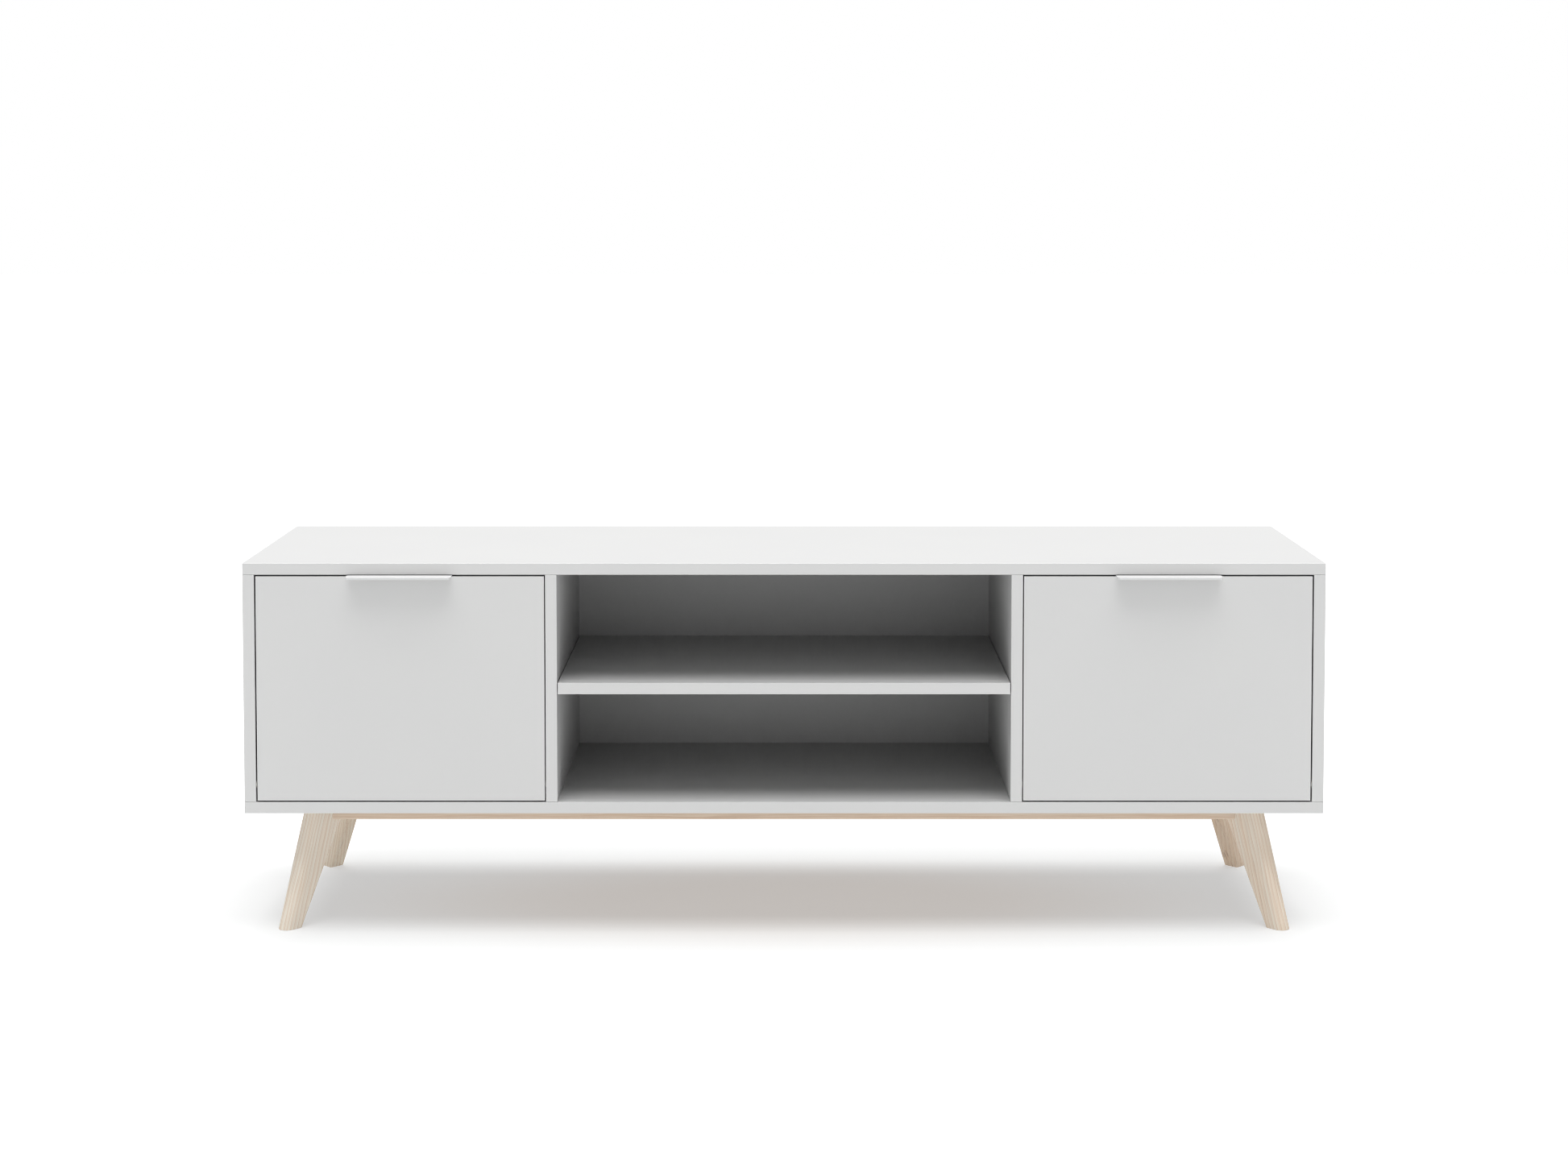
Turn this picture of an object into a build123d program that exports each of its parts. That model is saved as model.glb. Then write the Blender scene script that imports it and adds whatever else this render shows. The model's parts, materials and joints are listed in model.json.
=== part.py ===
"""Media stand: an open niche with a shelf between two flap-door compartments, on a splayed wooden base.

Millimetres. +X is the right-hand side seen from the front, +Y runs to the back and +Z is up.
The origin lies on the floor, under the middle of the whole stand with its handles.
Left and right are named as seen from the front. Every "left" piece is built at -X and mirrored.
"""

import os
from math import cos, radians, sin, sqrt

from build123d import *

# ---- overall sizes -------------------------------------------------------------------------
WIDTH = 1500.0  # top board, end to end
DEPTH = 400.0  # top board, front edge to rear edge
HEIGHT = 520.0  # floor to the top face
LEG_HEIGHT = 170.0  # floor to the underside of the bottom board
HANDLE_REACH = 20.0  # how far the lip pulls stand in front of the doors

# ---- boards: melamine-faced particle board with edge banding --------------------------------
BOARD = 16.0
EDGE_ROUND = 0.8  # rounding of the edge banding
NICHE_WIDTH = 630.0  # clear width between the two dividers
BACK_THICK = 3.0  # hard fibreboard back
BACK_INSET = 10.0  # rear edges of the boards to the back
GROOVE_DEPTH = 6.5
GROOVE_PLAY = 0.2  # each side of the back in its grooves
BACK_END_PLAY = 0.5  # edge of the back to the bottom of a groove
SHELF_END_PLAY = 1.0  # each end of the shelf to its divider
SHELF_BACK_PLAY = 1.0  # shelf to the back
SHELF_SETBACK = 0.5  # front edge of the shelf behind the front plane

# ---- flap doors ---------------------------------------------------------------------------
DOOR_THICK = 16.0
GAP_OUTER = 2.0  # door to side board
GAP_INNER = 1.4  # door to divider
GAP_TOP = 2.2
GAP_BOTTOM = 1.8
HINGE_RISE = 22.0  # hinge axis above the door's lower edge
HINGE_PIN = 6.0
HINGE_PIN_IN_DOOR = 14.0
HINGE_PIN_IN_BUSH = 8.0
RUNNING_PLAY = 0.05  # radial, for a pin that turns in its bore
BUSH_WALL = 2.0
BUSH_LENGTH = 9.0
BUSH_FLANGE = 0.8  # flange thickness
BUSH_FLANGE_WIDTH = 0.5  # flange beyond the bush, radial

# ---- lip pulls -----------------------------------------------------------------------------
HANDLE_LENGTH = 145.0
HANDLE_SHEET = 1.5
HANDLE_LIP = 3.3  # height of the turned-down front lip
HANDLE_CORNER = 4.0
HANDLE_FOLD = 0.6  # outer rounding of the fold and of the plate's rim
HANDLE_SCREW_SPACING = 96.0

# ---- brake stays: a rod pinned to each flap slides through a swivelling housing ----------------
STAY_LEAD = 7.0  # degrees, bracket pin behind the door plane, seen from the hinge axis
STAY_SPAN = 45.0  # degrees between bracket pin and housing when the flap is closed
FLAP_TRAVEL = 90.0  # degrees
STAY_BACK_ROOM = DEPTH / 8  # free room behind the rod end of a closed flap
STAY_ROD = 8.0
STAY_OFF = 14.0  # side board to rod axis
SLIDE_PLAY = 0.3  # radial, rod in housing
HOUSING_LENGTH = 26.0
HOUSING_HEIGHT = 18.0
HOUSING_WALL = 3.2  # housing beside the rod bore
HOUSING_ROUND = 2.0
STOP_GAP = 0.3  # end stop to housing when the flap is fully open
STOP_LENGTH = 6.0
STOP_DIAMETER = 12.0
HUB_DIAMETER = 12.0
STUD_DIAMETER = 6.0
PLATE = 2.0  # sheet of the stay plates and brackets
PLATE_WIDTH = 26.0
PLATE_LENGTH = 64.0
PLATE_CORNER = 3.0
PLATE_SCREW_SPACING = 50.0
BRACKET_WIDTH = 25.0
BRACKET_LENGTH = 44.0
BRACKET_SCREW_SPACING = 30.0
EAR_SHEET = 2.5
EAR_RADIUS = 7.0
EYE_DIAMETER = 15.0
EYE_THICK = 4.0
BRACKET_PIN = 5.0
PIN_HEAD = 8.0
PIN_HEAD_THICK = 1.2
SIDE_PLAY = 0.3  # between sheet parts that turn beside each other
BRAKE_SCREW_HEAD = 9.0
BRAKE_SCREW_HEAD_THICK = 3.0
BRAKE_SCREW = 5.0

# ---- magnetic catches --------------------------------------------------------------------------
CATCH_LENGTH = 46.0
CATCH_DEPTH = 15.0
CATCH_HEIGHT = 13.0
CATCH_FROM_DIVIDER = 60.0  # divider to the middle of the catch
CATCH_GAP = 0.3  # catch to strike plate
CATCH_EAR = 8.0  # ends of the catch that take the screws
CATCH_ROUND = 0.5
MAGNET_LENGTH = 24.0
MAGNET_HEIGHT = 7.0
MAGNET_DEPTH = 9.0
MAGNET_SUNK = 0.1  # magnet face behind the catch face
STRIKE_LENGTH = 40.0
STRIKE_HEIGHT = 13.0
STRIKE_SHEET = 1.5
STRIKE_BELOW_EDGE = 1.3  # door's upper edge to the strike plate
STRIKE_SCREW_MARGIN = 1.0  # rim of the strike plate outside its screw heads
STRIKE_SCREW_SHARE = 0.6  # length of its screws, as a share of the door's thickness

# ---- splayed legs: blades set at 45 degrees across the corners -------------------------------------
LEG_THICK = 24.0
LEG_FOOT_WIDTH = 29.0
LEG_TOP_WIDTH = 62.0
LEG_SPLAY = 48.0  # outer edge of the foot further out than at the top, along the blade
LEG_FROM_SIDE = 43.8  # side plane to the outer edge of the foot
LEG_FROM_FRONT = 18.5  # front plane to the outer edge of the foot
LEG_NOSE = 11.8  # rounding of the outer edge
LEG_INNER_ROUND = 3.0
LEG_FOOT_ROUND = 1.0
LEG_DOWEL_FROM_EDGE = 24.8  # outer edge of a leg's top to its upright dowel

# ---- rails between the legs ----------------------------------------------------------------------
RAIL_HEIGHT = 25.0
RAIL_THICK = 20.0
RAIL_FROM_FRONT = 68.0  # front plane to the front rail, and rear plane to the rear rail
RAIL_FROM_SIDE = 94.0  # side plane to the cross rails
RAIL_ROUND = 1.5
RAIL_DOWEL_IN_LEG = 10.0  # part of a rail's dowel that sits in the leg
RAIL_SCREW_FROM_LEG = 210.0  # leg to the nearest screw of a front or rear rail
CROSS_SCREW_FROM_LEG = 40.0  # leg to the nearest screw of a cross rail

# ---- fittings -----------------------------------------------------------------------------------
DOWEL = 8.0
DOWEL_LENGTH = 30.0
DOWEL_IN_FACE = 10.0  # part of a dowel that sits in a board's face
DOWEL_END_PLAY = 1.0
DOWEL_CHAMFER = 0.8
BORE_PLAY = 0.05  # radial, around fixed fittings
CAM = 15.0
CAM_BELOW_BOLT = 5.0  # cam below the bolt's axis
CAM_SETBACK = 24.0  # end of the board to the cam's axis
CAM_BOLT_SHANK = 6.0
CAM_BOLT_NECK = 4.0
CAM_BOLT_HEAD = 7.0
CAM_BOLT_HEAD_LENGTH = 4.0
CAM_BOLT_THREAD = 5.0
CAM_BOLT_IN_FACE = 10.5
CAM_BOLT_BORE = 8.0
CAM_SLOT = 7.8
CAM_FROM_FRONT = 50.0
CAM_FROM_REAR = 60.0
DOWEL_FROM_CAM = 32.0
SHELF_PIN = 5.0
SHELF_PIN_IN_BOARD = 8.0
SHELF_PIN_OUT = 8.0
SHELF_PIN_FROM_EDGE = 37.0
DRIVE_WIDTH = 0.9  # cross slots in screw heads and cams
DRIVE_DEPTH = 1.1
DRIVE_SHARE = 0.55  # length of a drive's slots, as a share of the head's diameter
OVERSHOOT = 1.0  # how far a cutter starts outside the face that it opens
SMALL_SCREW = 3.5
SMALL_SCREW_LENGTH = 13.0
SMALL_SCREW_HEAD = 7.0
HANDLE_SCREW_LENGTH = 20.0
FRAME_SCREW = 4.0
FRAME_SCREW_LENGTH = 35.0
FRAME_SCREW_HEAD = 8.0

# ---- places worked out from the sizes above ------------------------------------------------------
FRONT = HANDLE_REACH - (DEPTH + HANDLE_REACH) / 2  # front plane of the boards
REAR = FRONT + DEPTH
SIDE = WIDTH / 2
UNDER_TOP = HEIGHT - BOARD
ON_BOTTOM = LEG_HEIGHT + BOARD
SIDE_FACE = -SIDE + BOARD  # inner face of the left side board
NICHE_FACE = -NICHE_WIDTH / 2  # niche face of the left divider
DIVIDER_FACE = NICHE_FACE - BOARD  # compartment face of the left divider
BACK_FACE = REAR - BACK_INSET - BACK_THICK
SHELF_UNDER = (ON_BOTTOM + UNDER_TOP - BOARD) / 2
DOOR_LEFT = SIDE_FACE + GAP_OUTER
DOOR_RIGHT = DIVIDER_FACE - GAP_INNER
DOOR_LOW = ON_BOTTOM + GAP_BOTTOM
DOOR_HIGH = UNDER_TOP - GAP_TOP
DOOR_BACK = FRONT + DOOR_THICK
DOOR_MID = (DOOR_LEFT + DOOR_RIGHT) / 2
HINGE_Y = FRONT + DOOR_THICK / 2
HINGE_Z = DOOR_LOW + HINGE_RISE
LEG_LINE = SIDE - LEG_FROM_SIDE + LEG_FROM_FRONT  # |x| plus distance from the front, on a blade's middle
HALF_ROOT2 = sqrt(0.5)
LEG_SKEW = LEG_THICK * HALF_ROOT2  # half a blade's thickness, measured along X or Y

# The rod's geometry scales with one arm length: hinge axis to bracket pin, and hinge axis to housing.
SWIVEL_ANGLE = STAY_LEAD + STAY_SPAN
ROD_SLOPE = STAY_LEAD + STAY_SPAN / 2  # the closed rod falls towards the back by this angle
CLOSED_SHARE = 2 * sin(radians(STAY_SPAN / 2))
OPEN_SHARE = 2 * sin(radians((STAY_SPAN + FLAP_TRAVEL) / 2))
REACH_SHARE = sin(radians(SWIVEL_ANGLE)) + (OPEN_SHARE - CLOSED_SHARE) * cos(radians(ROD_SLOPE))
ROD_TAIL = HOUSING_LENGTH / 2 + STOP_GAP + STOP_LENGTH
STAY_ARM = (BACK_FACE - HINGE_Y - STAY_BACK_ROOM - ROD_TAIL * cos(radians(ROD_SLOPE))) / REACH_SHARE
BRACKET_PIN_Y = HINGE_Y + STAY_ARM * sin(radians(STAY_LEAD))
BRACKET_PIN_Z = HINGE_Z + STAY_ARM * cos(radians(STAY_LEAD))
SWIVEL_Y = HINGE_Y + STAY_ARM * sin(radians(SWIVEL_ANGLE))
SWIVEL_Z = HINGE_Z + STAY_ARM * cos(radians(SWIVEL_ANGLE))
ROD_LENGTH = OPEN_SHARE * STAY_ARM + ROD_TAIL
ROD_X = SIDE_FACE + STAY_OFF
ROD_WAY = (0, cos(radians(ROD_SLOPE)), -sin(radians(ROD_SLOPE)))  # from the bracket pin to the housing
ROD_UP = (0, sin(radians(ROD_SLOPE)), cos(radians(ROD_SLOPE)))

CORNER = (Align.MIN, Align.MIN, Align.MIN)
STANDING = (Align.CENTER, Align.CENTER, Align.MIN)
EAST, WEST = (1, 0, 0), (-1, 0, 0)
SOUTH, NORTH = (0, -1, 0), (0, 1, 0)
UP, DOWN = (0, 0, 1), (0, 0, -1)
MID_DEPTH = Plane.XZ.offset(-(FRONT + REAR) / 2)


# ---- helpers -----------------------------------------------------------------------------------
def slab(x0, x1, y0, y1, z0, z1):
    """A rectangular solid between two opposite corners."""
    return Pos(x0, y0, z0) * Box(x1 - x0, y1 - y0, z1 - z0, align=CORNER)


def board(x0, x1, y0, y1, z0, z1, radius=EDGE_ROUND):
    """A rectangular board with every edge rounded."""
    plain = slab(x0, x1, y0, y1, z0, z1)
    return fillet(plain.edges(), radius)


def place(foot, way):
    """A frame at the point foot whose Z axis looks along way."""
    return Plane(origin=foot, z_dir=way)


def peg(foot, way, diameter, length):
    """A round bar that starts at foot and runs along way."""
    return place(foot, way) * Cylinder(diameter / 2, length, align=STANDING)


def shifted(foot, way, distance):
    """The point that lies the given distance from foot along way."""
    return tuple(f + w * distance for f, w in zip(foot, way))


def cross_drive(diameter):
    """The cross-shaped cutter for a drive, with its mouth at Z = 0."""
    slot = Box(diameter, DRIVE_WIDTH, 2 * DRIVE_DEPTH)
    return slot + Rot(0, 0, 90) * slot


def screw(foot, way, shank, length, head):
    """A countersunk screw whose flat head lies at foot and whose point looks along way."""
    sink = (head - shank) / 2
    tip = shank / 2
    outline = Polyline(
        (0, 0), (head / 2, 0), (shank / 2, sink), (shank / 2, length - tip), (0, length), close=True
    )
    body = revolve(Plane.XZ * make_face(outline), Axis.Z)
    return place(foot, way) * (body - cross_drive(head * DRIVE_SHARE))


def screw_bore(foot, way, shank, length, head):
    """The bore for such a screw, with its countersink."""
    sink = (head - shank) / 2
    wide = head / 2 + BORE_PLAY
    narrow = shank / 2 + BORE_PLAY
    end = length + BORE_PLAY
    outline = Polyline(
        (0, -OVERSHOOT), (wide, -OVERSHOOT), (wide, 0), (narrow, sink), (narrow, end), (0, end), close=True
    )
    return place(foot, way) * revolve(Plane.XZ * make_face(outline), Axis.Z)


def dowel(foot, way):
    """A wooden dowel that starts at foot, with chamfered ends."""
    pin = peg(foot, way, DOWEL, DOWEL_LENGTH)
    return chamfer(pin.edges().filter_by(GeomType.CIRCLE), DOWEL_CHAMFER)


def dowel_bore(foot, way):
    """The bore for a dowel, longer than the dowel at both ends."""
    start = shifted(foot, way, -DOWEL_END_PLAY)
    return peg(start, way, DOWEL + 2 * BORE_PLAY, DOWEL_LENGTH + 2 * DOWEL_END_PLAY)


def to_right(piece):
    """The right-hand copy of a left-hand piece."""
    return mirror(piece, about=Plane.YZ)


def to_rear(piece):
    """The rear copy of a front piece."""
    return mirror(piece, about=MID_DEPTH)


# ---- fittings between the boards --------------------------------------------------------------------
def cam_rows():
    """y of the two cams in a board-to-board joint."""
    return [FRONT + CAM_FROM_FRONT, REAR - CAM_FROM_REAR]


def dowel_rows():
    """y of the two dowels between those cams."""
    front, rear = cam_rows()
    return [front + DOWEL_FROM_CAM, rear - DOWEL_FROM_CAM]


def left_uprights():
    """(middle x, x of the face that the cams open on, way into the board) for the two left uprights."""
    return [
        ((-SIDE + SIDE_FACE) / 2, SIDE_FACE, WEST),
        ((DIVIDER_FACE + NICHE_FACE) / 2, DIVIDER_FACE, EAST),
    ]


def cam_solid(face_x, way, y, z, bolt_way):
    """One cam lock, sunk flush in the face at face_x, with the slot that takes the bolt's head."""
    depth = BOARD / 2 + CAM_BELOW_BOLT
    body = peg((face_x, y, z), way, CAM, depth)
    bolt_x = face_x + way[0] * BOARD / 2
    half = CAM_SLOT / 2
    low, high = sorted((z + bolt_way * CAM, z - bolt_way * half))
    slot = slab(bolt_x - half, bolt_x + half, y - half, y + half, low, high)
    drive = place((face_x, y, z), WEST if way == EAST else EAST) * cross_drive(CAM * DRIVE_SHARE)
    return body - slot - drive


def cam_bore(face_x, way, y, z):
    """The flat-bottomed bore for a cam lock."""
    depth = BOARD / 2 + CAM_BELOW_BOLT + BORE_PLAY
    start = (face_x - way[0] * OVERSHOOT, y, z)
    return peg(start, way, CAM + 2 * BORE_PLAY, depth + OVERSHOOT)


def cam_bolt(x, y, z, way):
    """A cam bolt whose collar sits on a board's face at z, with its head towards way."""
    foot = (x, y, z)
    neck_start = CAM_SETBACK - 2 * CAM_BOLT_HEAD_LENGTH
    back = (0, 0, -way[2])
    thread = peg(foot, back, CAM_BOLT_THREAD, CAM_BOLT_IN_FACE)
    shank = peg(foot, way, CAM_BOLT_SHANK, neck_start)
    neck = peg(shifted(foot, way, neck_start), way, CAM_BOLT_NECK, CAM_BOLT_HEAD_LENGTH * 2)
    head_start = CAM_SETBACK - CAM_BOLT_HEAD_LENGTH / 2
    head = peg(shifted(foot, way, head_start), way, CAM_BOLT_HEAD, CAM_BOLT_HEAD_LENGTH)
    return thread + shank + neck + head


def board_ends():
    """(z of the meeting face, way into the upright) for both ends of an upright."""
    return [(ON_BOTTOM, UP), (UNDER_TOP, DOWN)]


def left_cams():
    """All cam locks of the left half."""
    for _, face_x, way in left_uprights():
        for z, into in board_ends():
            for y in cam_rows():
                yield cam_solid(face_x, way, y, z + into[2] * CAM_SETBACK, -into[2])


def left_cam_bolts():
    """All cam bolts of the left half."""
    for x, _, _ in left_uprights():
        for z, into in board_ends():
            for y in cam_rows():
                yield cam_bolt(x, y, z, into)


def left_dowels():
    """All carcass dowels of the left half."""
    for x, _, _ in left_uprights():
        for z, into in board_ends():
            for y in dowel_rows():
                yield dowel((x, y, z - into[2] * DOWEL_IN_FACE), into)


def face_bores(z, into):
    """Bores in the face of the top or bottom board, in the left half."""
    depth = CAM_BOLT_IN_FACE + DOWEL_END_PLAY
    for x, _, _ in left_uprights():
        for y in cam_rows():
            yield peg((x, y, z), (0, 0, -into[2]), CAM_BOLT_THREAD + 2 * BORE_PLAY, depth)
        for y in dowel_rows():
            yield dowel_bore((x, y, z - into[2] * DOWEL_IN_FACE), into)


def end_bores(x, face_x, way):
    """Bores in both ends of an upright, with the cam bores in its face."""
    for z, into in board_ends():
        for y in cam_rows():
            yield peg((x, y, z), into, CAM_BOLT_BORE, CAM_SETBACK)
            yield cam_bore(face_x, way, y, z + into[2] * CAM_SETBACK)
        for y in dowel_rows():
            yield dowel_bore((x, y, z - into[2] * DOWEL_IN_FACE), into)


# ---- the carcass ---------------------------------------------------------------------------------
def back_groove():
    """The groove that holds the back in the boards around it, as one cutter."""
    reach = GROOVE_DEPTH
    return slab(
        SIDE_FACE - reach, -SIDE_FACE + reach,
        BACK_FACE - GROOVE_PLAY, BACK_FACE + BACK_THICK + GROOVE_PLAY,
        ON_BOTTOM - reach, UNDER_TOP + reach,
    )


def back_panel():
    """The fibreboard back, which sits in the grooves with a little end play."""
    reach = GROOVE_DEPTH - BACK_END_PLAY
    return slab(
        SIDE_FACE - reach, -SIDE_FACE + reach,
        BACK_FACE, BACK_FACE + BACK_THICK,
        ON_BOTTOM - reach, UNDER_TOP + reach,
    )


def both_sides(cutters):
    """The given left-hand cutters with their right-hand copies."""
    left = list(cutters)
    return left + [to_right(c) for c in left]


def catch_screw_places():
    """Where the screws of the left catch enter it from below."""
    x = DIVIDER_FACE - CATCH_FROM_DIVIDER
    y = DOOR_BACK + STRIKE_SHEET + CATCH_GAP + CATCH_DEPTH / 2
    half = (CATCH_LENGTH - CATCH_EAR) / 2
    return [(x - half, y, UNDER_TOP - CATCH_HEIGHT / 2), (x + half, y, UNDER_TOP - CATCH_HEIGHT / 2)]


def catch_screw_bores():
    """Screw bores for the left catch, through its ears and into the top board."""
    for foot in catch_screw_places():
        yield screw_bore(foot, UP, SMALL_SCREW, SMALL_SCREW_LENGTH, SMALL_SCREW_HEAD)


def top_panel():
    """The top board, which covers both side boards."""
    plain = board(-SIDE, SIDE, FRONT, REAR, UNDER_TOP, HEIGHT)
    bores = both_sides(face_bores(UNDER_TOP, DOWN)) + both_sides(catch_screw_bores())
    return plain - back_groove() - bores


def bottom_panel():
    """The bottom board, which the side boards stand on and the base is fixed under."""
    plain = board(-SIDE, SIDE, FRONT, REAR, LEG_HEIGHT, ON_BOTTOM)
    bores = both_sides(face_bores(ON_BOTTOM, UP))
    bores += [dowel_bore(foot, way) for foot, way in leg_top_dowels()]
    bores += [frame_screw_bore(foot) for foot in frame_screw_places()]
    return plain - back_groove() - bores


def stay_screw_places():
    """Where the screws of the left stay plate enter it."""
    x = SIDE_FACE + PLATE
    half = PLATE_SCREW_SPACING / 2
    return [(x, SWIVEL_Y, SWIVEL_Z - half), (x, SWIVEL_Y, SWIVEL_Z + half)]


def stay_screw_bores():
    """Screw bores for the left stay plate."""
    for foot in stay_screw_places():
        yield screw_bore(foot, WEST, SMALL_SCREW, SMALL_SCREW_LENGTH, SMALL_SCREW_HEAD)


def bush_bore(face_x, way):
    """The bore for a hinge bush in an upright's face."""
    outer = HINGE_PIN + 2 * RUNNING_PLAY + 2 * BUSH_WALL
    return peg((face_x, HINGE_Y, HINGE_Z), way, outer + 2 * BORE_PLAY, BUSH_LENGTH + BORE_PLAY)


def side_panel():
    """The left side board."""
    plain = board(-SIDE, SIDE_FACE, FRONT, REAR, ON_BOTTOM, UNDER_TOP)
    x, face_x, way = left_uprights()[0]
    bored = plain - back_groove() - list(end_bores(x, face_x, way)) - list(stay_screw_bores())
    return bored - bush_bore(SIDE_FACE, WEST)


def shelf_pin_places():
    """Where the two left shelf pins leave the divider's niche face."""
    z = SHELF_UNDER - SHELF_PIN / 2
    ys = (FRONT + SHELF_PIN_FROM_EDGE, BACK_FACE - SHELF_PIN_FROM_EDGE)
    return [(NICHE_FACE, y, z) for y in ys]


def shelf_pin(foot):
    """A shelf pin, half in the divider and half under the shelf."""
    start = shifted(foot, WEST, SHELF_PIN_IN_BOARD)
    pin = peg(start, EAST, SHELF_PIN, SHELF_PIN_IN_BOARD + SHELF_PIN_OUT)
    return chamfer(pin.edges().filter_by(GeomType.CIRCLE), DOWEL_CHAMFER)


def divider():
    """The left divider between compartment and niche."""
    plain = board(DIVIDER_FACE, NICHE_FACE, FRONT, BACK_FACE, ON_BOTTOM, UNDER_TOP)
    x, face_x, way = left_uprights()[1]
    pin_bore = SHELF_PIN + 2 * BORE_PLAY
    pins = [peg(foot, WEST, pin_bore, SHELF_PIN_IN_BOARD + BORE_PLAY) for foot in shelf_pin_places()]
    return plain - list(end_bores(x, face_x, way)) - pins - bush_bore(DIVIDER_FACE, EAST)


def shelf():
    """The loose shelf of the niche."""
    half = NICHE_WIDTH / 2 - SHELF_END_PLAY
    front, back = FRONT + SHELF_SETBACK, BACK_FACE - SHELF_BACK_PLAY
    return board(-half, half, front, back, SHELF_UNDER, SHELF_UNDER + BOARD)


# ---- flap doors and what rides on them ------------------------------------------------------------
def handle_screw_places():
    """Where the two screws of the left pull enter its top face."""
    z = DOOR_HIGH + HANDLE_SHEET
    half = HANDLE_SCREW_SPACING / 2
    return [(DOOR_MID - half, HINGE_Y, z), (DOOR_MID + half, HINGE_Y, z)]


def bracket_screw_places():
    """Where the two screws of the left flap bracket enter its plate."""
    x = bracket_left() + BRACKET_WIDTH - SMALL_SCREW_HEAD
    half = BRACKET_SCREW_SPACING / 2
    return [(x, DOOR_BACK + PLATE, BRACKET_PIN_Z - half), (x, DOOR_BACK + PLATE, BRACKET_PIN_Z + half)]


def strike_screw_places():
    """Where the two screws of the left strike plate enter it."""
    x = DIVIDER_FACE - CATCH_FROM_DIVIDER
    z = DOOR_HIGH - STRIKE_BELOW_EDGE - STRIKE_HEIGHT / 2
    half = STRIKE_LENGTH / 2 - SMALL_SCREW_HEAD / 2 - STRIKE_SCREW_MARGIN
    y = DOOR_BACK + STRIKE_SHEET
    return [(x - half, y, z), (x + half, y, z)]


def strike_screw_length():
    """Strike plate screws are short, so that they stay inside the door."""
    return DOOR_THICK * STRIKE_SCREW_SHARE


def hinge_pins():
    """The two pivot pins in the left door's side edges."""
    length_out = HINGE_PIN_IN_DOOR + GAP_OUTER + HINGE_PIN_IN_BUSH
    length_in = HINGE_PIN_IN_DOOR + GAP_INNER + HINGE_PIN_IN_BUSH
    outer = peg((DOOR_LEFT + HINGE_PIN_IN_DOOR, HINGE_Y, HINGE_Z), WEST, HINGE_PIN, length_out)
    inner = peg((DOOR_RIGHT - HINGE_PIN_IN_DOOR, HINGE_Y, HINGE_Z), EAST, HINGE_PIN, length_in)
    return [outer, inner]


def hinge_bush(face_x, way):
    """A flanged nylon bush in an upright's face."""
    bore = HINGE_PIN + 2 * RUNNING_PLAY
    outer = bore + 2 * BUSH_WALL
    foot = (face_x, HINGE_Y, HINGE_Z)
    back = (-way[0], 0, 0)
    body = peg(foot, way, outer, BUSH_LENGTH) + peg(foot, back, outer + 2 * BUSH_FLANGE_WIDTH, BUSH_FLANGE)
    return body - peg(shifted(foot, back, BUSH_FLANGE), way, bore, BUSH_LENGTH + BUSH_FLANGE)


def door():
    """The left flap, a plain board with bores for its fittings."""
    plain = board(DOOR_LEFT, DOOR_RIGHT, FRONT, DOOR_BACK, DOOR_LOW, DOOR_HIGH)
    pin_bore = HINGE_PIN + 2 * BORE_PLAY
    depth = HINGE_PIN_IN_DOOR + BORE_PLAY
    bores = [
        peg((DOOR_LEFT, HINGE_Y, HINGE_Z), EAST, pin_bore, depth),
        peg((DOOR_RIGHT, HINGE_Y, HINGE_Z), WEST, pin_bore, depth),
    ]
    for foot in handle_screw_places():
        bores.append(screw_bore(foot, DOWN, SMALL_SCREW, HANDLE_SCREW_LENGTH, SMALL_SCREW_HEAD))
    for foot in bracket_screw_places():
        bores.append(screw_bore(foot, SOUTH, SMALL_SCREW, SMALL_SCREW_LENGTH, SMALL_SCREW_HEAD))
    for foot in strike_screw_places():
        bores.append(screw_bore(foot, SOUTH, SMALL_SCREW, strike_screw_length(), SMALL_SCREW_HEAD))
    return plain - bores


def handle():
    """The left lip pull: a folded sheet that lies on the door's upper edge."""
    depth = HANDLE_REACH + DOOR_THICK
    low, high = DOOR_HIGH, DOOR_HIGH + HANDLE_SHEET
    front = FRONT - HANDLE_REACH
    outline = RectangleRounded(HANDLE_LENGTH, depth, HANDLE_CORNER)
    block = Pos(DOOR_MID, front + depth / 2, high - HANDLE_LIP) * extrude(outline, HANDLE_LIP)
    hollow = slab(
        DOOR_MID - HANDLE_LENGTH, DOOR_MID + HANDLE_LENGTH,
        front + HANDLE_SHEET, DOOR_BACK + OVERSHOOT,
        low - HANDLE_LIP, low,
    )
    folded = block - hollow
    folded = fillet(folded.faces().sort_by(Axis.Z)[-1].edges(), HANDLE_FOLD)
    for foot in handle_screw_places():
        folded -= screw_bore(foot, DOWN, SMALL_SCREW, HANDLE_SCREW_LENGTH, SMALL_SCREW_HEAD)
    return folded


def bracket_left():
    """The outer edge of the left flap bracket's plate, just outside the rod's eye."""
    return ROD_X - STAY_ROD / 2 - SIDE_PLAY - EAR_SHEET


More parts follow.
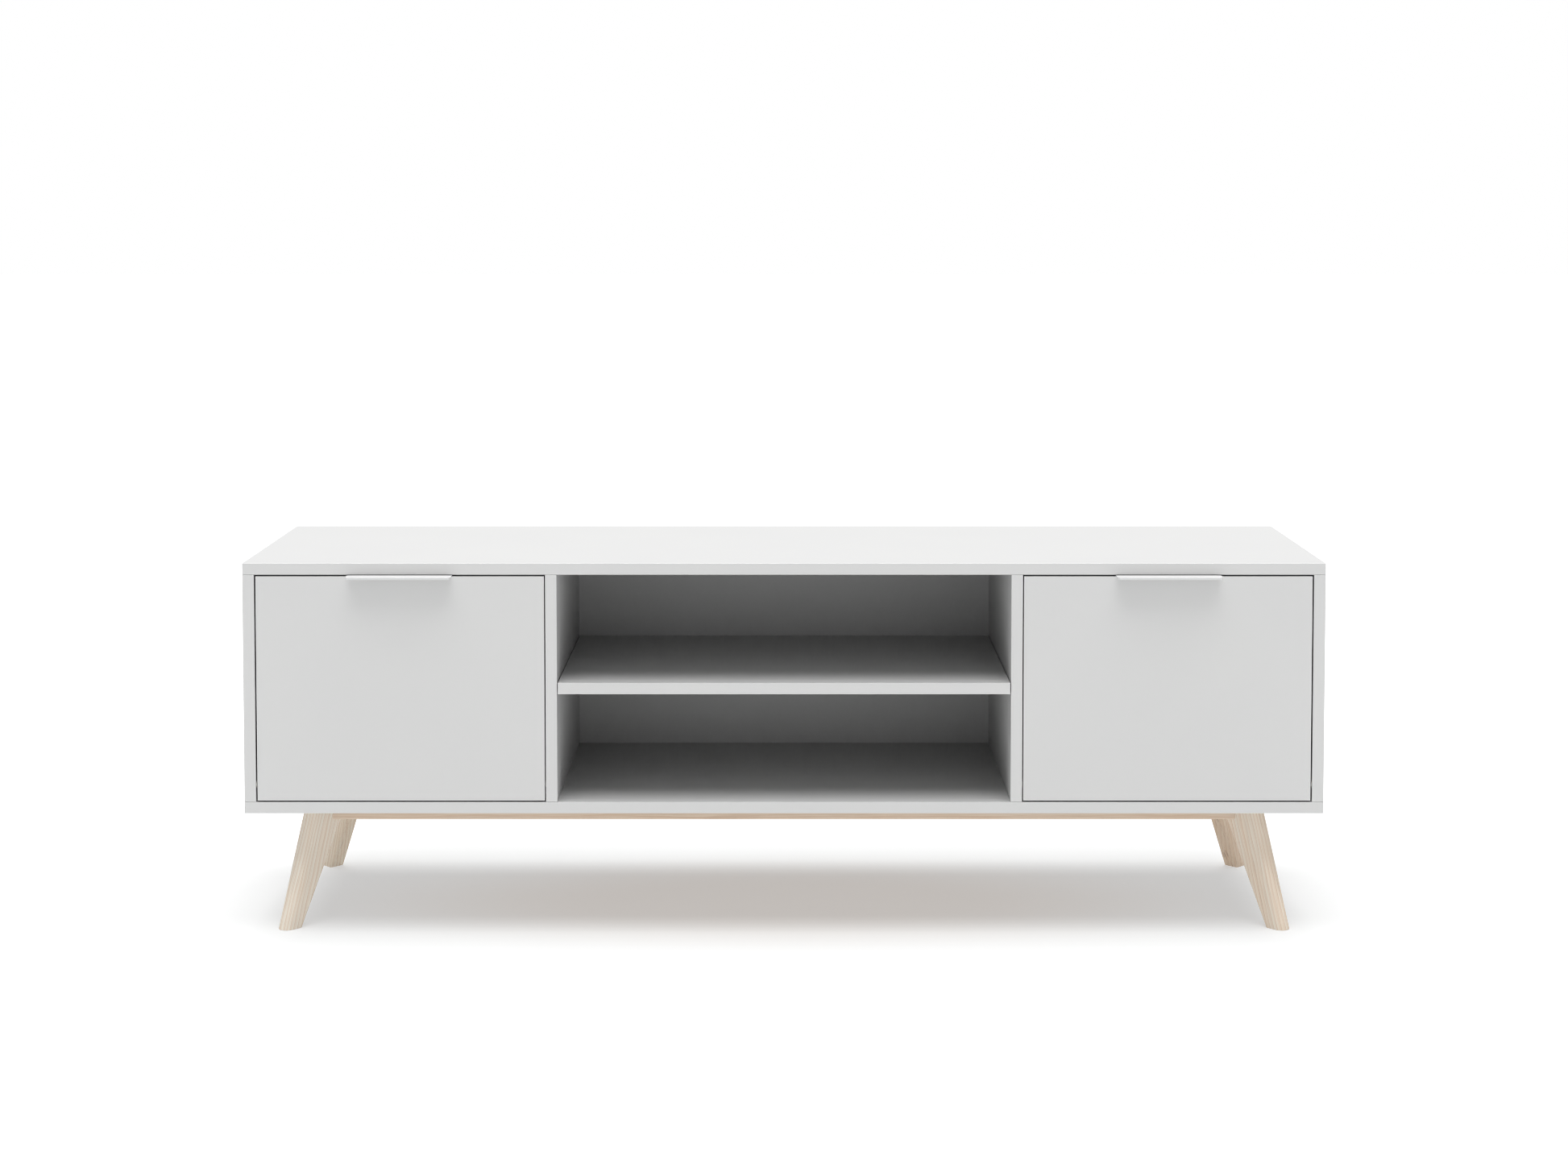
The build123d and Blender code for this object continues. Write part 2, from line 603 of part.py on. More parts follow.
def flap_bracket():
    """The left flap bracket: a plate on the door, an ear and a shouldered pin for the rod's eye."""
    x0 = bracket_left()
    y, z = BRACKET_PIN_Y, BRACKET_PIN_Z
    half = BRACKET_LENGTH / 2
    plate = slab(x0, x0 + BRACKET_WIDTH, DOOR_BACK, DOOR_BACK + PLATE, z - half, z + half)
    ear = peg((x0, y, z), EAST, 2 * EAR_RADIUS, EAR_SHEET)
    web = slab(x0, x0 + EAR_SHEET, DOOR_BACK, y, z - EAR_RADIUS, z + EAR_RADIUS)
    eye_near = ROD_X - EYE_THICK / 2 - SIDE_PLAY
    eye_far = ROD_X + EYE_THICK / 2 + SIDE_PLAY
    shoulder = peg((x0, y, z), EAST, PIN_HEAD, eye_near - x0)
    pin = peg((x0, y, z), EAST, BRACKET_PIN, eye_far + PIN_HEAD_THICK - x0)
    head = peg((eye_far, y, z), EAST, PIN_HEAD, PIN_HEAD_THICK)
    bracket = plate + ear + web + shoulder + pin + head
    for foot in bracket_screw_places():
        bracket -= screw_bore(foot, SOUTH, SMALL_SCREW, SMALL_SCREW_LENGTH, SMALL_SCREW_HEAD)
    return bracket


def stay_rod():
    """The left stay rod, with a flat eye at the bracket and an end stop behind the housing."""
    foot = (ROD_X, BRACKET_PIN_Y, BRACKET_PIN_Z)
    eye_foot = (ROD_X - EYE_THICK / 2, BRACKET_PIN_Y, BRACKET_PIN_Z)
    bar = peg(foot, ROD_WAY, STAY_ROD, ROD_LENGTH)
    stop = peg(shifted(foot, ROD_WAY, ROD_LENGTH - STOP_LENGTH), ROD_WAY, STOP_DIAMETER, STOP_LENGTH)
    stop = chamfer(stop.edges().filter_by(GeomType.CIRCLE), DOWEL_CHAMFER)
    eye = peg(eye_foot, EAST, EYE_DIAMETER, EYE_THICK)
    clear = peg(shifted(foot, WEST, STAY_ROD), EAST, EYE_DIAMETER, 2 * STAY_ROD)
    bore = peg(shifted(foot, WEST, STAY_ROD), EAST, BRACKET_PIN + 2 * RUNNING_PLAY, 2 * STAY_ROD)
    return (bar - clear) + eye + stop - bore


def housing_thick():
    """Thickness of the housing across the rod."""
    return STAY_ROD + 2 * SLIDE_PLAY + 2 * HOUSING_WALL


def housing_frame():
    """A frame at the swivel axis with X across the rod and Z along it."""
    return Plane(origin=(ROD_X, SWIVEL_Y, SWIVEL_Z), x_dir=EAST, z_dir=ROD_WAY)


def stay_housing():
    """The left swivelling brake housing, with the slide bore, the hub and the brake screw's hole."""
    thick = housing_thick()
    block = Box(thick, HOUSING_HEIGHT, HOUSING_LENGTH)
    block = fillet(block.edges(), HOUSING_ROUND)
    block = housing_frame() * (block - Cylinder(STAY_ROD / 2 + SLIDE_PLAY, 2 * HOUSING_LENGTH))
    hub_foot = (SIDE_FACE + PLATE + SIDE_PLAY, SWIVEL_Y, SWIVEL_Z)
    hub_length = ROD_X - thick / 2 - hub_foot[0]
    hub = peg(hub_foot, EAST, HUB_DIAMETER, hub_length)
    bore = peg(hub_foot, EAST, STUD_DIAMETER + 2 * RUNNING_PLAY, hub_length)
    screw_hole = peg((ROD_X, SWIVEL_Y, SWIVEL_Z), ROD_UP, BRAKE_SCREW + 2 * BORE_PLAY, HOUSING_HEIGHT)
    return block + hub - bore - screw_hole


def brake_screw():
    """The slotted screw that sets the left brake, on top of the housing."""
    foot = (ROD_X, SWIVEL_Y, SWIVEL_Z)
    start = STAY_ROD / 2 + 2 * SLIDE_PLAY
    top = HOUSING_HEIGHT / 2
    shank = peg(shifted(foot, ROD_UP, start), ROD_UP, BRAKE_SCREW, top - start)
    head = peg(shifted(foot, ROD_UP, top), ROD_UP, BRAKE_SCREW_HEAD, BRAKE_SCREW_HEAD_THICK)
    head = chamfer(head.edges().filter_by(GeomType.CIRCLE).sort_by(Axis.Z)[-1:], DRIVE_WIDTH / 2)
    slot_place = Plane(origin=shifted(foot, ROD_UP, top + BRAKE_SCREW_HEAD_THICK), x_dir=EAST, z_dir=ROD_UP)
    return shank + head - slot_place * Box(2 * BRAKE_SCREW_HEAD, DRIVE_WIDTH, 2 * DRIVE_DEPTH)


def stay_plate():
    """The left stay plate on the side board, with the stud that the housing swivels on."""
    flat = Plane(origin=(SIDE_FACE, SWIVEL_Y, SWIVEL_Z), x_dir=NORTH, z_dir=EAST)
    plate = flat * extrude(RectangleRounded(PLATE_WIDTH, PLATE_LENGTH, PLATE_CORNER), PLATE)
    stud_end = ROD_X - housing_thick() / 2 - SIDE_PLAY
    stud = peg((SIDE_FACE, SWIVEL_Y, SWIVEL_Z), EAST, STUD_DIAMETER, stud_end - SIDE_FACE)
    return plate + stud - list(stay_screw_bores())


# ---- catches --------------------------------------------------------------------------------------
def catch_box():
    """(x0, x1, y0, y1, z0, z1) of the left catch under the top board."""
    x = DIVIDER_FACE - CATCH_FROM_DIVIDER
    y = DOOR_BACK + STRIKE_SHEET + CATCH_GAP
    half = CATCH_LENGTH / 2
    return x - half, x + half, y, y + CATCH_DEPTH, UNDER_TOP - CATCH_HEIGHT, UNDER_TOP


def magnet_block(play):
    """The left magnet's block in the face of its catch, grown by play on every side."""
    x0, x1, y0, y1, z0, z1 = catch_box()
    x, z = (x0 + x1) / 2, (z0 + z1) / 2
    wide, high = MAGNET_LENGTH / 2 + play, MAGNET_HEIGHT / 2 + play
    face = y0 + MAGNET_SUNK
    return slab(x - wide, x + wide, face, face + MAGNET_DEPTH + play, z - high, z + high)


def catch_body():
    """The left catch's plastic body: a block with two thin ears for its screws."""
    x0, x1, y0, y1, z0, z1 = catch_box()
    block = slab(x0 + CATCH_EAR, x1 - CATCH_EAR, y0, y1, z0, z1)
    ears = slab(x0, x1, y0, y1, (z0 + z1) / 2, z1)
    body = fillet((block + ears).edges().filter_by(Axis.Y), CATCH_ROUND)
    mouth = Pos(0, -MAGNET_DEPTH / 2, 0) * magnet_block(BORE_PLAY)
    return body - magnet_block(BORE_PLAY) - mouth - list(catch_screw_bores())


def strike_plate():
    """The left strike plate on the door, opposite the magnet."""
    x = DIVIDER_FACE - CATCH_FROM_DIVIDER
    z = DOOR_HIGH - STRIKE_BELOW_EDGE - STRIKE_HEIGHT / 2
    flat = Plane(origin=(x, DOOR_BACK + STRIKE_SHEET, z), x_dir=EAST, z_dir=SOUTH)
    plate = flat * extrude(RectangleRounded(STRIKE_LENGTH, STRIKE_HEIGHT, HOUSING_ROUND), STRIKE_SHEET)
    for foot in strike_screw_places():
        plate -= screw_bore(foot, SOUTH, SMALL_SCREW, strike_screw_length(), SMALL_SCREW_HEAD)
    return plate


# ---- the wooden base --------------------------------------------------------------------------------
def leg_frame():
    """A frame at the front left foot: X along the blade inwards, Y through its thickness, Z up."""
    origin = (-SIDE + LEG_FROM_SIDE, FRONT + LEG_FROM_FRONT, 0)
    return Plane(origin=origin, x_dir=(HALF_ROOT2, HALF_ROOT2, 0), z_dir=UP)


def blade_middle(along, z):
    """A point on the front left blade's middle plane, the given distance along it from the foot's edge."""
    x0, y0 = -SIDE + LEG_FROM_SIDE, FRONT + LEG_FROM_FRONT
    return (x0 + along * HALF_ROOT2, y0 + along * HALF_ROOT2, z)


def slanted_edges(blade):
    """The long edges of a blade, from the outer to the inner ones."""
    straight = blade.edges().filter_by(GeomType.LINE)
    return straight.filter_by(lambda e: abs(e.tangent_at(0.5).Z) > 0.5).sort_by(Axis.X)


def leg_blank():
    """The front left leg before boring: a tapered blade with a rounded outer edge."""
    top_start, top_end = LEG_SPLAY, LEG_SPLAY + LEG_TOP_WIDTH
    corners = [(0, 0), (LEG_FOOT_WIDTH, 0), (top_end, LEG_HEIGHT), (top_start, LEG_HEIGHT)]
    side_view = Polyline(*corners, close=True)
    blade = extrude(Plane.XZ * make_face(side_view), LEG_THICK / 2, both=True)
    blade = fillet(slanted_edges(blade)[:2], LEG_NOSE)
    blade = fillet(slanted_edges(blade)[-2:], LEG_INNER_ROUND)
    foot_rim = blade.faces().sort_by(Axis.Z)[0].edges()
    return leg_frame() * fillet(foot_rim, LEG_FOOT_ROUND)


def rail_low():
    """Underside of the rails."""
    return LEG_HEIGHT - RAIL_HEIGHT


def front_rail_end():
    """(x, y) where the front rail's middle line meets the front left leg."""
    y = FRONT + RAIL_FROM_FRONT + RAIL_THICK / 2
    return -(LEG_LINE - LEG_SKEW - (y - FRONT)), y


def cross_rail_end():
    """(x, y) where the left cross rail's middle line meets the front left leg."""
    x = -SIDE + RAIL_FROM_SIDE + RAIL_THICK / 2
    return x, FRONT + LEG_LINE + LEG_SKEW + x


def rail_dowels_at_leg():
    """(foot, way) of the front left leg's two rail dowels, each lying along its own rail."""
    z = LEG_HEIGHT - RAIL_HEIGHT / 2
    front_x, front_y = front_rail_end()
    cross_x, cross_y = cross_rail_end()
    in_front_rail = (front_x - RAIL_DOWEL_IN_LEG, front_y, z)
    in_cross_rail = (cross_x, cross_y - RAIL_DOWEL_IN_LEG, z)
    return [(in_front_rail, EAST), (in_cross_rail, NORTH)]


def leg_top_dowel():
    """(foot, way) of the upright dowel between the front left leg and the bottom board."""
    return blade_middle(LEG_SPLAY + LEG_DOWEL_FROM_EDGE, LEG_HEIGHT + DOWEL_IN_FACE), DOWN


def four_corners(foot, way):
    """A point and its way at the front left corner, repeated at all four corners."""
    x, y, z = foot
    mirrored_y = FRONT + REAR - y
    for sign_x in (1, -1):
        yield (sign_x * x, y, z), (sign_x * way[0], way[1], way[2])
        yield (sign_x * x, mirrored_y, z), (sign_x * way[0], -way[1], way[2])


def leg_top_dowels():
    """(foot, way) of the upright dowels of all four legs."""
    return list(four_corners(*leg_top_dowel()))


def base_dowels():
    """(foot, way) of every dowel in the base."""
    rails = [spot for foot, way in rail_dowels_at_leg() for spot in four_corners(foot, way)]
    return leg_top_dowels() + rails


def leg():
    """The front left leg with its dowel bores."""
    spots = [leg_top_dowel()] + rail_dowels_at_leg()
    return leg_blank() - [dowel_bore(foot, way) for foot, way in spots]


def rail_blank(x0, x1, y0, y1):
    """A rail with rounded lower edges and flat upper face."""
    bar = slab(x0, x1, y0, y1, rail_low(), LEG_HEIGHT)
    along = Axis.X if x1 - x0 > y1 - y0 else Axis.Y
    return fillet(bar.edges().filter_by(along).sort_by(Axis.Z)[:2], RAIL_ROUND)


def mitre(point_on_face, outward):
    """A large cutter whose flat side passes through the point and which lies on the side outward looks to."""
    far = 4 * RAIL_THICK
    return place(point_on_face, outward) * Box(far, far, far, align=STANDING)


def front_rail():
    """The front rail, mitred onto the inner side faces of the front legs."""
    x, y = front_rail_end()
    y0, y1 = y - RAIL_THICK / 2, y + RAIL_THICK / 2
    beyond = slab(-2 * SIDE, x - RAIL_THICK, y0, y1, 0, LEG_HEIGHT)
    foot, way = rail_dowels_at_leg()[0]
    left = [mitre((x, y, LEG_HEIGHT), (-1, 1, 0)), beyond, dowel_bore(foot, way)]
    bores = [frame_screw_bore(f) for f in front_rail_screws()]
    return rail_blank(-SIDE, SIDE, y0, y1) - both_sides(left) - bores


def cross_rail():
    """The left cross rail, mitred onto the outer side faces of the left legs."""
    x, y = cross_rail_end()
    x0, x1 = x - RAIL_THICK / 2, x + RAIL_THICK / 2
    beyond = slab(x0, x1, FRONT - DEPTH, y - RAIL_THICK, 0, LEG_HEIGHT)
    foot, way = rail_dowels_at_leg()[1]
    front = [mitre((x, y, LEG_HEIGHT), (1, -1, 0)), beyond, dowel_bore(foot, way)]
    bores = [frame_screw_bore(f) for f in cross_rail_screws()]
    return rail_blank(x0, x1, FRONT, REAR) - front - [to_rear(c) for c in front] - bores


def front_rail_screws():
    """Where the front rail's screws enter it from below."""
    end, y = front_rail_end()
    first = end + RAIL_SCREW_FROM_LEG
    return [(x, y, rail_low()) for x in (first, 0, -first)]


def cross_rail_screws():
    """Where the left cross rail's screws enter it from below."""
    x, end = cross_rail_end()
    first = end + CROSS_SCREW_FROM_LEG
    return [(x, y, rail_low()) for y in (first, FRONT + REAR - first)]


def frame_screw_places():
    """Where every screw of the base enters a rail from below."""
    front = front_rail_screws()
    rear = [(x, FRONT + REAR - y, z) for x, y, z in front]
    left = cross_rail_screws()
    right = [(-x, y, z) for x, y, z in left]
    return front + rear + left + right


def frame_screw(foot):
    """A screw through a rail into the bottom board."""
    return screw(foot, UP, FRAME_SCREW, FRAME_SCREW_LENGTH, FRAME_SCREW_HEAD)


def frame_screw_bore(foot):
    """The bore for such a screw."""
    return screw_bore(foot, UP, FRAME_SCREW, FRAME_SCREW_LENGTH, FRAME_SCREW_HEAD)


# ---- writing the pieces -----------------------------------------------------------------------------
def small_screws(places, way, length=SMALL_SCREW_LENGTH):
    """A small screw at each place."""
    return [screw(foot, way, SMALL_SCREW, length, SMALL_SCREW_HEAD) for foot in places]


def write(name, *pieces):
    """Writes one node, which is one solid or a group of separate solids."""
    solids = [solid for piece in pieces for solid in piece.solids()]
    node = solids[0] if len(solids) == 1 else Compound(children=solids)
    export_step(node, f"parts/{name}.step")
    print(name, "solids", len(solids))


def write_pair(name, *pieces):
    """Writes a left-hand node and its right-hand copy."""
    write(f"left_{name}", *pieces)
    write(f"right_{name}", *[to_right(piece) for piece in pieces])


def write_carcass():
    """Boards and the fittings that hold them together."""
    write("top_panel", top_panel())
    write("bottom_panel", bottom_panel())
    write_pair("side_panel", side_panel())
    write_pair("divider", divider())
    write("back_panel", back_panel())
    write("shelf", shelf())
    write("shelf_pins", *both_sides(shelf_pin(foot) for foot in shelf_pin_places()))
    write("cam_locks", *both_sides(left_cams()))
    write("cam_bolts", *both_sides(left_cam_bolts()))
    write("carcass_dowels", *both_sides(left_dowels()))


def write_base():
    """Legs, rails and what joins them."""
    front_left = leg()
    write_pair("front_leg", front_left)
    write_pair("rear_leg", to_rear(front_left))
    write("front_rail", front_rail())
    write("rear_rail", to_rear(front_rail()))
    write_pair("cross_rail", cross_rail())
    write("base_dowels", *[dowel(foot, way) for foot, way in base_dowels()])
    write("base_screws", *[frame_screw(foot) for foot in frame_screw_places()])


def write_flaps():
    """Doors, pulls, hinges, stays and catches."""
    write_pair("door", door())
    write_pair("handle", handle())
    write_pair("handle_screws", *small_screws(handle_screw_places(), DOWN, HANDLE_SCREW_LENGTH))
    write_pair("hinge_pins", *hinge_pins())
    write("hinge_bushes", *both_sides([hinge_bush(SIDE_FACE, WEST), hinge_bush(DIVIDER_FACE, EAST)]))
    write_pair("flap_bracket", flap_bracket())
    write_pair("bracket_screws", *small_screws(bracket_screw_places(), SOUTH))
    write_pair("stay_rod", stay_rod())
    write_pair("stay_housing", stay_housing())
    write_pair("brake_screw", brake_screw())
    write_pair("stay_plate", stay_plate())
    write("stay_plate_screws", *both_sides(small_screws(stay_screw_places(), WEST)))
    write_pair("catch_body", catch_body())
    write("catch_magnets", *both_sides([magnet_block(0)]))
    write("catch_screws", *both_sides(small_screws(catch_screw_places(), UP)))
    write_pair("strike_plate", strike_plate())
    write_pair("strike_screws", *small_screws(strike_screw_places(), SOUTH, strike_screw_length()))


os.makedirs("parts", exist_ok=True)
write_carcass()
write_base()
write_flaps()
print("hinge axis y, z:", round(HINGE_Y, 3), round(HINGE_Z, 3))
print("bracket pin y, z:", round(BRACKET_PIN_Y, 3), round(BRACKET_PIN_Z, 3))
print("swivel axis y, z:", round(SWIVEL_Y, 3), round(SWIVEL_Z, 3))
print("stay arm, rod length, rod x:", round(STAY_ARM, 3), round(ROD_LENGTH, 3), round(ROD_X, 3))
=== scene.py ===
# %% [markdown]
# # A low media stand with flap doors
# The stand is a white board carcass with an open niche in the middle and a flush flap door on each side.
# It sits on a splayed base of pale solid wood. A solid model already fixes every size and every joint, so
# this lesson adds what such a model leaves out: surfaces, soft edges, light and a camera. Nothing here
# moves or resizes a solid: new pieces take their places from the frame's own boxes.

# %% Load the frame and keep its box
import bmesh
import bpy
import json
from math import atan2, degrees, radians, sqrt
from mathutils import Matrix, Vector


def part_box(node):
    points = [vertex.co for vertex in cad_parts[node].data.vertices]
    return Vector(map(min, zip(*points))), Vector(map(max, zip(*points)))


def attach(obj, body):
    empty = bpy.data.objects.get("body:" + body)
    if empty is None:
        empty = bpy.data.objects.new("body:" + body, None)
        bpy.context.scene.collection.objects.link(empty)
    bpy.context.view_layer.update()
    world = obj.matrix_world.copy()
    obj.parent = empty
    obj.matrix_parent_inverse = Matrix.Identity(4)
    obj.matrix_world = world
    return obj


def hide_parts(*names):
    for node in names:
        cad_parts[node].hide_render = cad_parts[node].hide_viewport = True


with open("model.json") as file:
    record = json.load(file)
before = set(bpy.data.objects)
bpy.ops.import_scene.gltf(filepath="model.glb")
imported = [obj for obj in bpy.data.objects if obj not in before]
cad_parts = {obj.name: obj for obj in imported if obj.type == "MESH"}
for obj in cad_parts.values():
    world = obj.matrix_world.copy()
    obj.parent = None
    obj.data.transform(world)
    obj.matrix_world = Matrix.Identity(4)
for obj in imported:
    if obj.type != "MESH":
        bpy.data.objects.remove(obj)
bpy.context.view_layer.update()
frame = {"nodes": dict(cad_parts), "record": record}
nodes = frame["nodes"]
MM = 0.001

# %% [markdown]
# ## The camera
# Furniture is usually shown straight on, from standing height, with a long lens, so that its front stays a
# true rectangle and the top still shows. A level camera at that height would cut off its feet, and one
# aimed down at it would make its sides lean. A view camera answers that with a shifted lens, and so does
# this one, helped by a slight downward tilt.

# %% Camera
CAMERA_DISTANCE = 3.520  # lens to the front plane of the boards
CAMERA_HEIGHT = 1.0265  # above the floor
CAMERA_TILT = radians(2.963)
CAMERA_SHIFT = -0.165  # share of the sensor's width
FOCAL_LENGTH = 58.76  # mm, on a sensor 36 mm wide
SENSOR_WIDTH = 36.0

top_low, top_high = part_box("top_panel")
front_plane = top_low.y
camera_data = bpy.data.cameras.new("studio_camera")
camera_data.lens = FOCAL_LENGTH
camera_data.sensor_width = SENSOR_WIDTH
camera_data.shift_y = CAMERA_SHIFT
camera = bpy.data.objects.new("studio_camera", camera_data)
camera.location = (0, front_plane - CAMERA_DISTANCE, CAMERA_HEIGHT)
camera.rotation_euler = (radians(90) - CAMERA_TILT, 0, 0)
bpy.context.scene.collection.objects.link(camera)
bpy.context.scene.camera = camera
print("camera at", [round(value, 3) for value in camera.location])
print("tilted down by", round(degrees(CAMERA_TILT), 2), "degrees")

# %% [markdown]
# ## Two small tools
# Colours are written as the hex values that a paint card would give, and Blender's shaders want linear
# light, so one function turns the first into the second. A second function adds one node, sets its options
# and links its inputs, so that a material below reads from top to bottom like a recipe.

# %% Colour and node helpers
def linear(hex_colour):
    """An sRGB hex colour as linear red, green, blue and alpha."""
    channels = [int(hex_colour[i:i + 2], 16) / 255 for i in (1, 3, 5)]
    return (*[c / 12.92 if c <= 0.04045 else ((c + 0.055) / 1.055) ** 2.4 for c in channels], 1.0)


def add_node(owner, kind, inputs=None, **options):
    """Adds a node of that kind. Each input is a value, or the output socket of another node.

    A colour mix has its two colours at inputs 6 and 7 and its result at output 2."""
    node = owner.node_tree.nodes.new(kind)
    for name, value in options.items():
        setattr(node, name, value)
    for key, value in (inputs or {}).items():
        if isinstance(value, bpy.types.NodeSocket):
            owner.node_tree.links.new(value, node.inputs[key])
        else:
            node.inputs[key].default_value = value
    return node


def start_material(name):
    """A new material with its shader, and the object's own coordinates in metres."""
    material = bpy.data.materials.new(name)
    material.use_nodes = True
    shader = material.node_tree.nodes["Principled BSDF"]
    place = add_node(material, "ShaderNodeTexCoord").outputs["Object"]
    return material, shader, place


def link(material, output, shader, socket):
    """Joins an output to a named socket of the shader."""
    material.node_tree.links.new(output, shader.inputs[socket])


def per_metre(size_mm):
    """How many features of that size fit in a metre, which is what a texture's scale means here."""
    return 1 / (size_mm * MM)


print("mid grey as linear light:", round(linear("#808080")[0], 3))

# %% [markdown]
# ## White melamine
# The carcass is particle board faced with paper soaked in melamine resin and pressed against a satin steel
# plate. The eye sees an even cool white, a soft sheen, and only in raking light the very fine pebble of
# the plate. A single white would look like paper. Two noises do it instead: cloudy tone over a hand's
# breadth, and pebble, which leads both relief and sheen, because on the real board the same tiny hills
# make both.

# %% Melamine-faced board
def melamine_board(name, light, dark):
    """A satin white board face with pressed pebble texture."""
    material, shader, place = start_material(name)
    cloud = add_node(material, "ShaderNodeTexNoise", {
        "Vector": place, "Scale": per_metre(140), "Detail": 3.0})
    tone = add_node(material, "ShaderNodeMix", {
        "Factor": cloud.outputs["Fac"], 6: linear(light), 7: linear(dark)}, data_type="RGBA")
    link(material, tone.outputs[2], shader, "Base Color")
    # the press plate's pebble is about 0.8 mm across and a few hundredths of a millimetre high
    pebble = add_node(material, "ShaderNodeTexNoise", {
        "Vector": place, "Scale": per_metre(0.8), "Detail": 2.0})
    sheen = add_node(material, "ShaderNodeMapRange", {
        "Value": pebble.outputs["Fac"], "To Min": 0.40, "To Max": 0.50})
    link(material, sheen.outputs["Result"], shader, "Roughness")
    bump = add_node(material, "ShaderNodeBump", {
        "Height": pebble.outputs["Fac"], "Strength": 0.12, "Distance": 0.03 * MM})
    link(material, bump.outputs["Normal"], shader, "Normal")
    shader.inputs["IOR"].default_value = 1.5
    shader.inputs["Specular IOR Level"].default_value = 0.4
    return material


white_board = melamine_board("white_melamine_board", "#E4E4E3", "#E1E1E1")
print("made", white_board.name)

# %% [markdown]
# ## The back
# A thin fibreboard back is covered with printed paper foil, which is a little duller than melamine. Fibre
# clumps under the foil give it a fine relief, and it is never perfectly flat, so a long wave drifts
# through the sheen. Both are cheap to draw, where a bent mesh would not be worth its faces.

# %% Foiled fibreboard
def foiled_back():
    """White paper foil on thin fibreboard."""
    material, shader, place = start_material("white_foiled_fibreboard")
    # paper fibre clumps are about 1.5 mm across
    fibre = add_node(material, "ShaderNodeTexNoise", {
        "Vector": place, "Scale": per_metre(1.5), "Detail": 4.0, "Roughness": 0.6})
    tone = add_node(material, "ShaderNodeMix", {
        "Factor": fibre.outputs["Fac"], 6: linear("#EBEBEB"), 7: linear("#E5E5E5")}, data_type="RGBA")
    link(material, tone.outputs[2], shader, "Base Color")
    wave = add_node(material, "ShaderNodeTexNoise", {
        "Vector": place, "Scale": per_metre(220), "Detail": 1.0})
    dull = add_node(material, "ShaderNodeMapRange", {
        "Value": wave.outputs["Fac"], "To Min": 0.55, "To Max": 0.68})
    link(material, dull.outputs["Result"], shader, "Roughness")
    bump = add_node(material, "ShaderNodeBump", {
        "Height": fibre.outputs["Fac"], "Strength": 0.2, "Distance": 0.05 * MM})
    link(material, bump.outputs["Normal"], shader, "Normal")
    shader.inputs["IOR"].default_value = 1.45
    return material


white_back = foiled_back()
print("made", white_back.name)

# %% [markdown]
# ## Growth rings
# The base is solid ash, which is ring-porous: each year leaves a line of open pores, so a sawn face shows
# long lines that drift and sometimes meet in a point. A flat pattern wrapped round a leg would break at
# every edge. Growth rings are cylinders round the tree's middle, so they are built in space, and every
# face cuts through them.

# %% Rings and drawn-out noise
RING_WIDTH = 4.6  # mm between growth rings, as in ash that grew fast
RING_WANDER = 9.0  # mm that a ring strays from its circle
WANDER_WIDTH = 26.0  # mm across the grain from one stray to the next
WANDER_STRETCH = 0.16  # share of that pace along the grain
WAVE_TURN = 0.314  # a wave texture repeats once in this share of its unit


def growth_rings(material, upright):
    """Saw-toothed rings round the tree's middle, wandering slowly along the grain."""
    drawn_out = add_node(material, "ShaderNodeMapping", {
        "Vector": upright, "Scale": (1, 1, WANDER_STRETCH)})
    wander = add_node(material, "ShaderNodeTexNoise", {
        "Vector": drawn_out.outputs["Vector"], "Scale": per_metre(WANDER_WIDTH), "Detail": 2.0})
    stray = (RING_WANDER * MM, RING_WANDER * MM, 0)
    bent = add_node(material, "ShaderNodeVectorMath", {
        0: wander.outputs["Color"], 1: stray, 2: drawn_out.outputs["Vector"],
    }, operation="MULTIPLY_ADD")
    rings = add_node(material, "ShaderNodeTexWave", {
        "Vector": bent.outputs["Vector"], "Scale": WAVE_TURN * per_metre(RING_WIDTH), "Distortion": 3.5,
        "Detail": 2.0, "Detail Scale": 0.4}, wave_type="RINGS", rings_direction="Z", wave_profile="SAW")
    return rings.outputs["Fac"]


def drawn_noise(material, upright, width, length, detail, roughness=0.5):
    """Noise whose spots are that wide across the grain and that long along it, in mm."""
    squeezed = add_node(material, "ShaderNodeMapping", {"Vector": upright, "Scale": (1, 1, width / length)})
    noise = add_node(material, "ShaderNodeTexNoise", {
        "Vector": squeezed.outputs["Vector"], "Scale": per_metre(width),
        "Detail": detail, "Roughness": roughness})
    return noise.outputs["Fac"]


print("rings in a leg blade of 24 mm:", round(24 / RING_WIDTH, 1))

# %% [markdown]
# ## Pale oiled ash
# A white-pigmented matt oil keeps the wood pale and warm. It is built in layers, as the eye reads it: two
# tones that change slowly across the plank, denser late wood in each ring, open pores, and brown streaks
# of heartwood. The pores are drawn about twice as wide as real ones, because finer lines would not show
# from across a room.

# %% Solid ash with a grain direction
PORE_WIDTH = 0.6  # mm across a pore line
PORE_LENGTH = 60.0  # mm along it
TONE_WIDTH = 9.0
TONE_LENGTH = 150.0
STREAK_WIDTH = 5.0
STREAK_LENGTH = 166.7


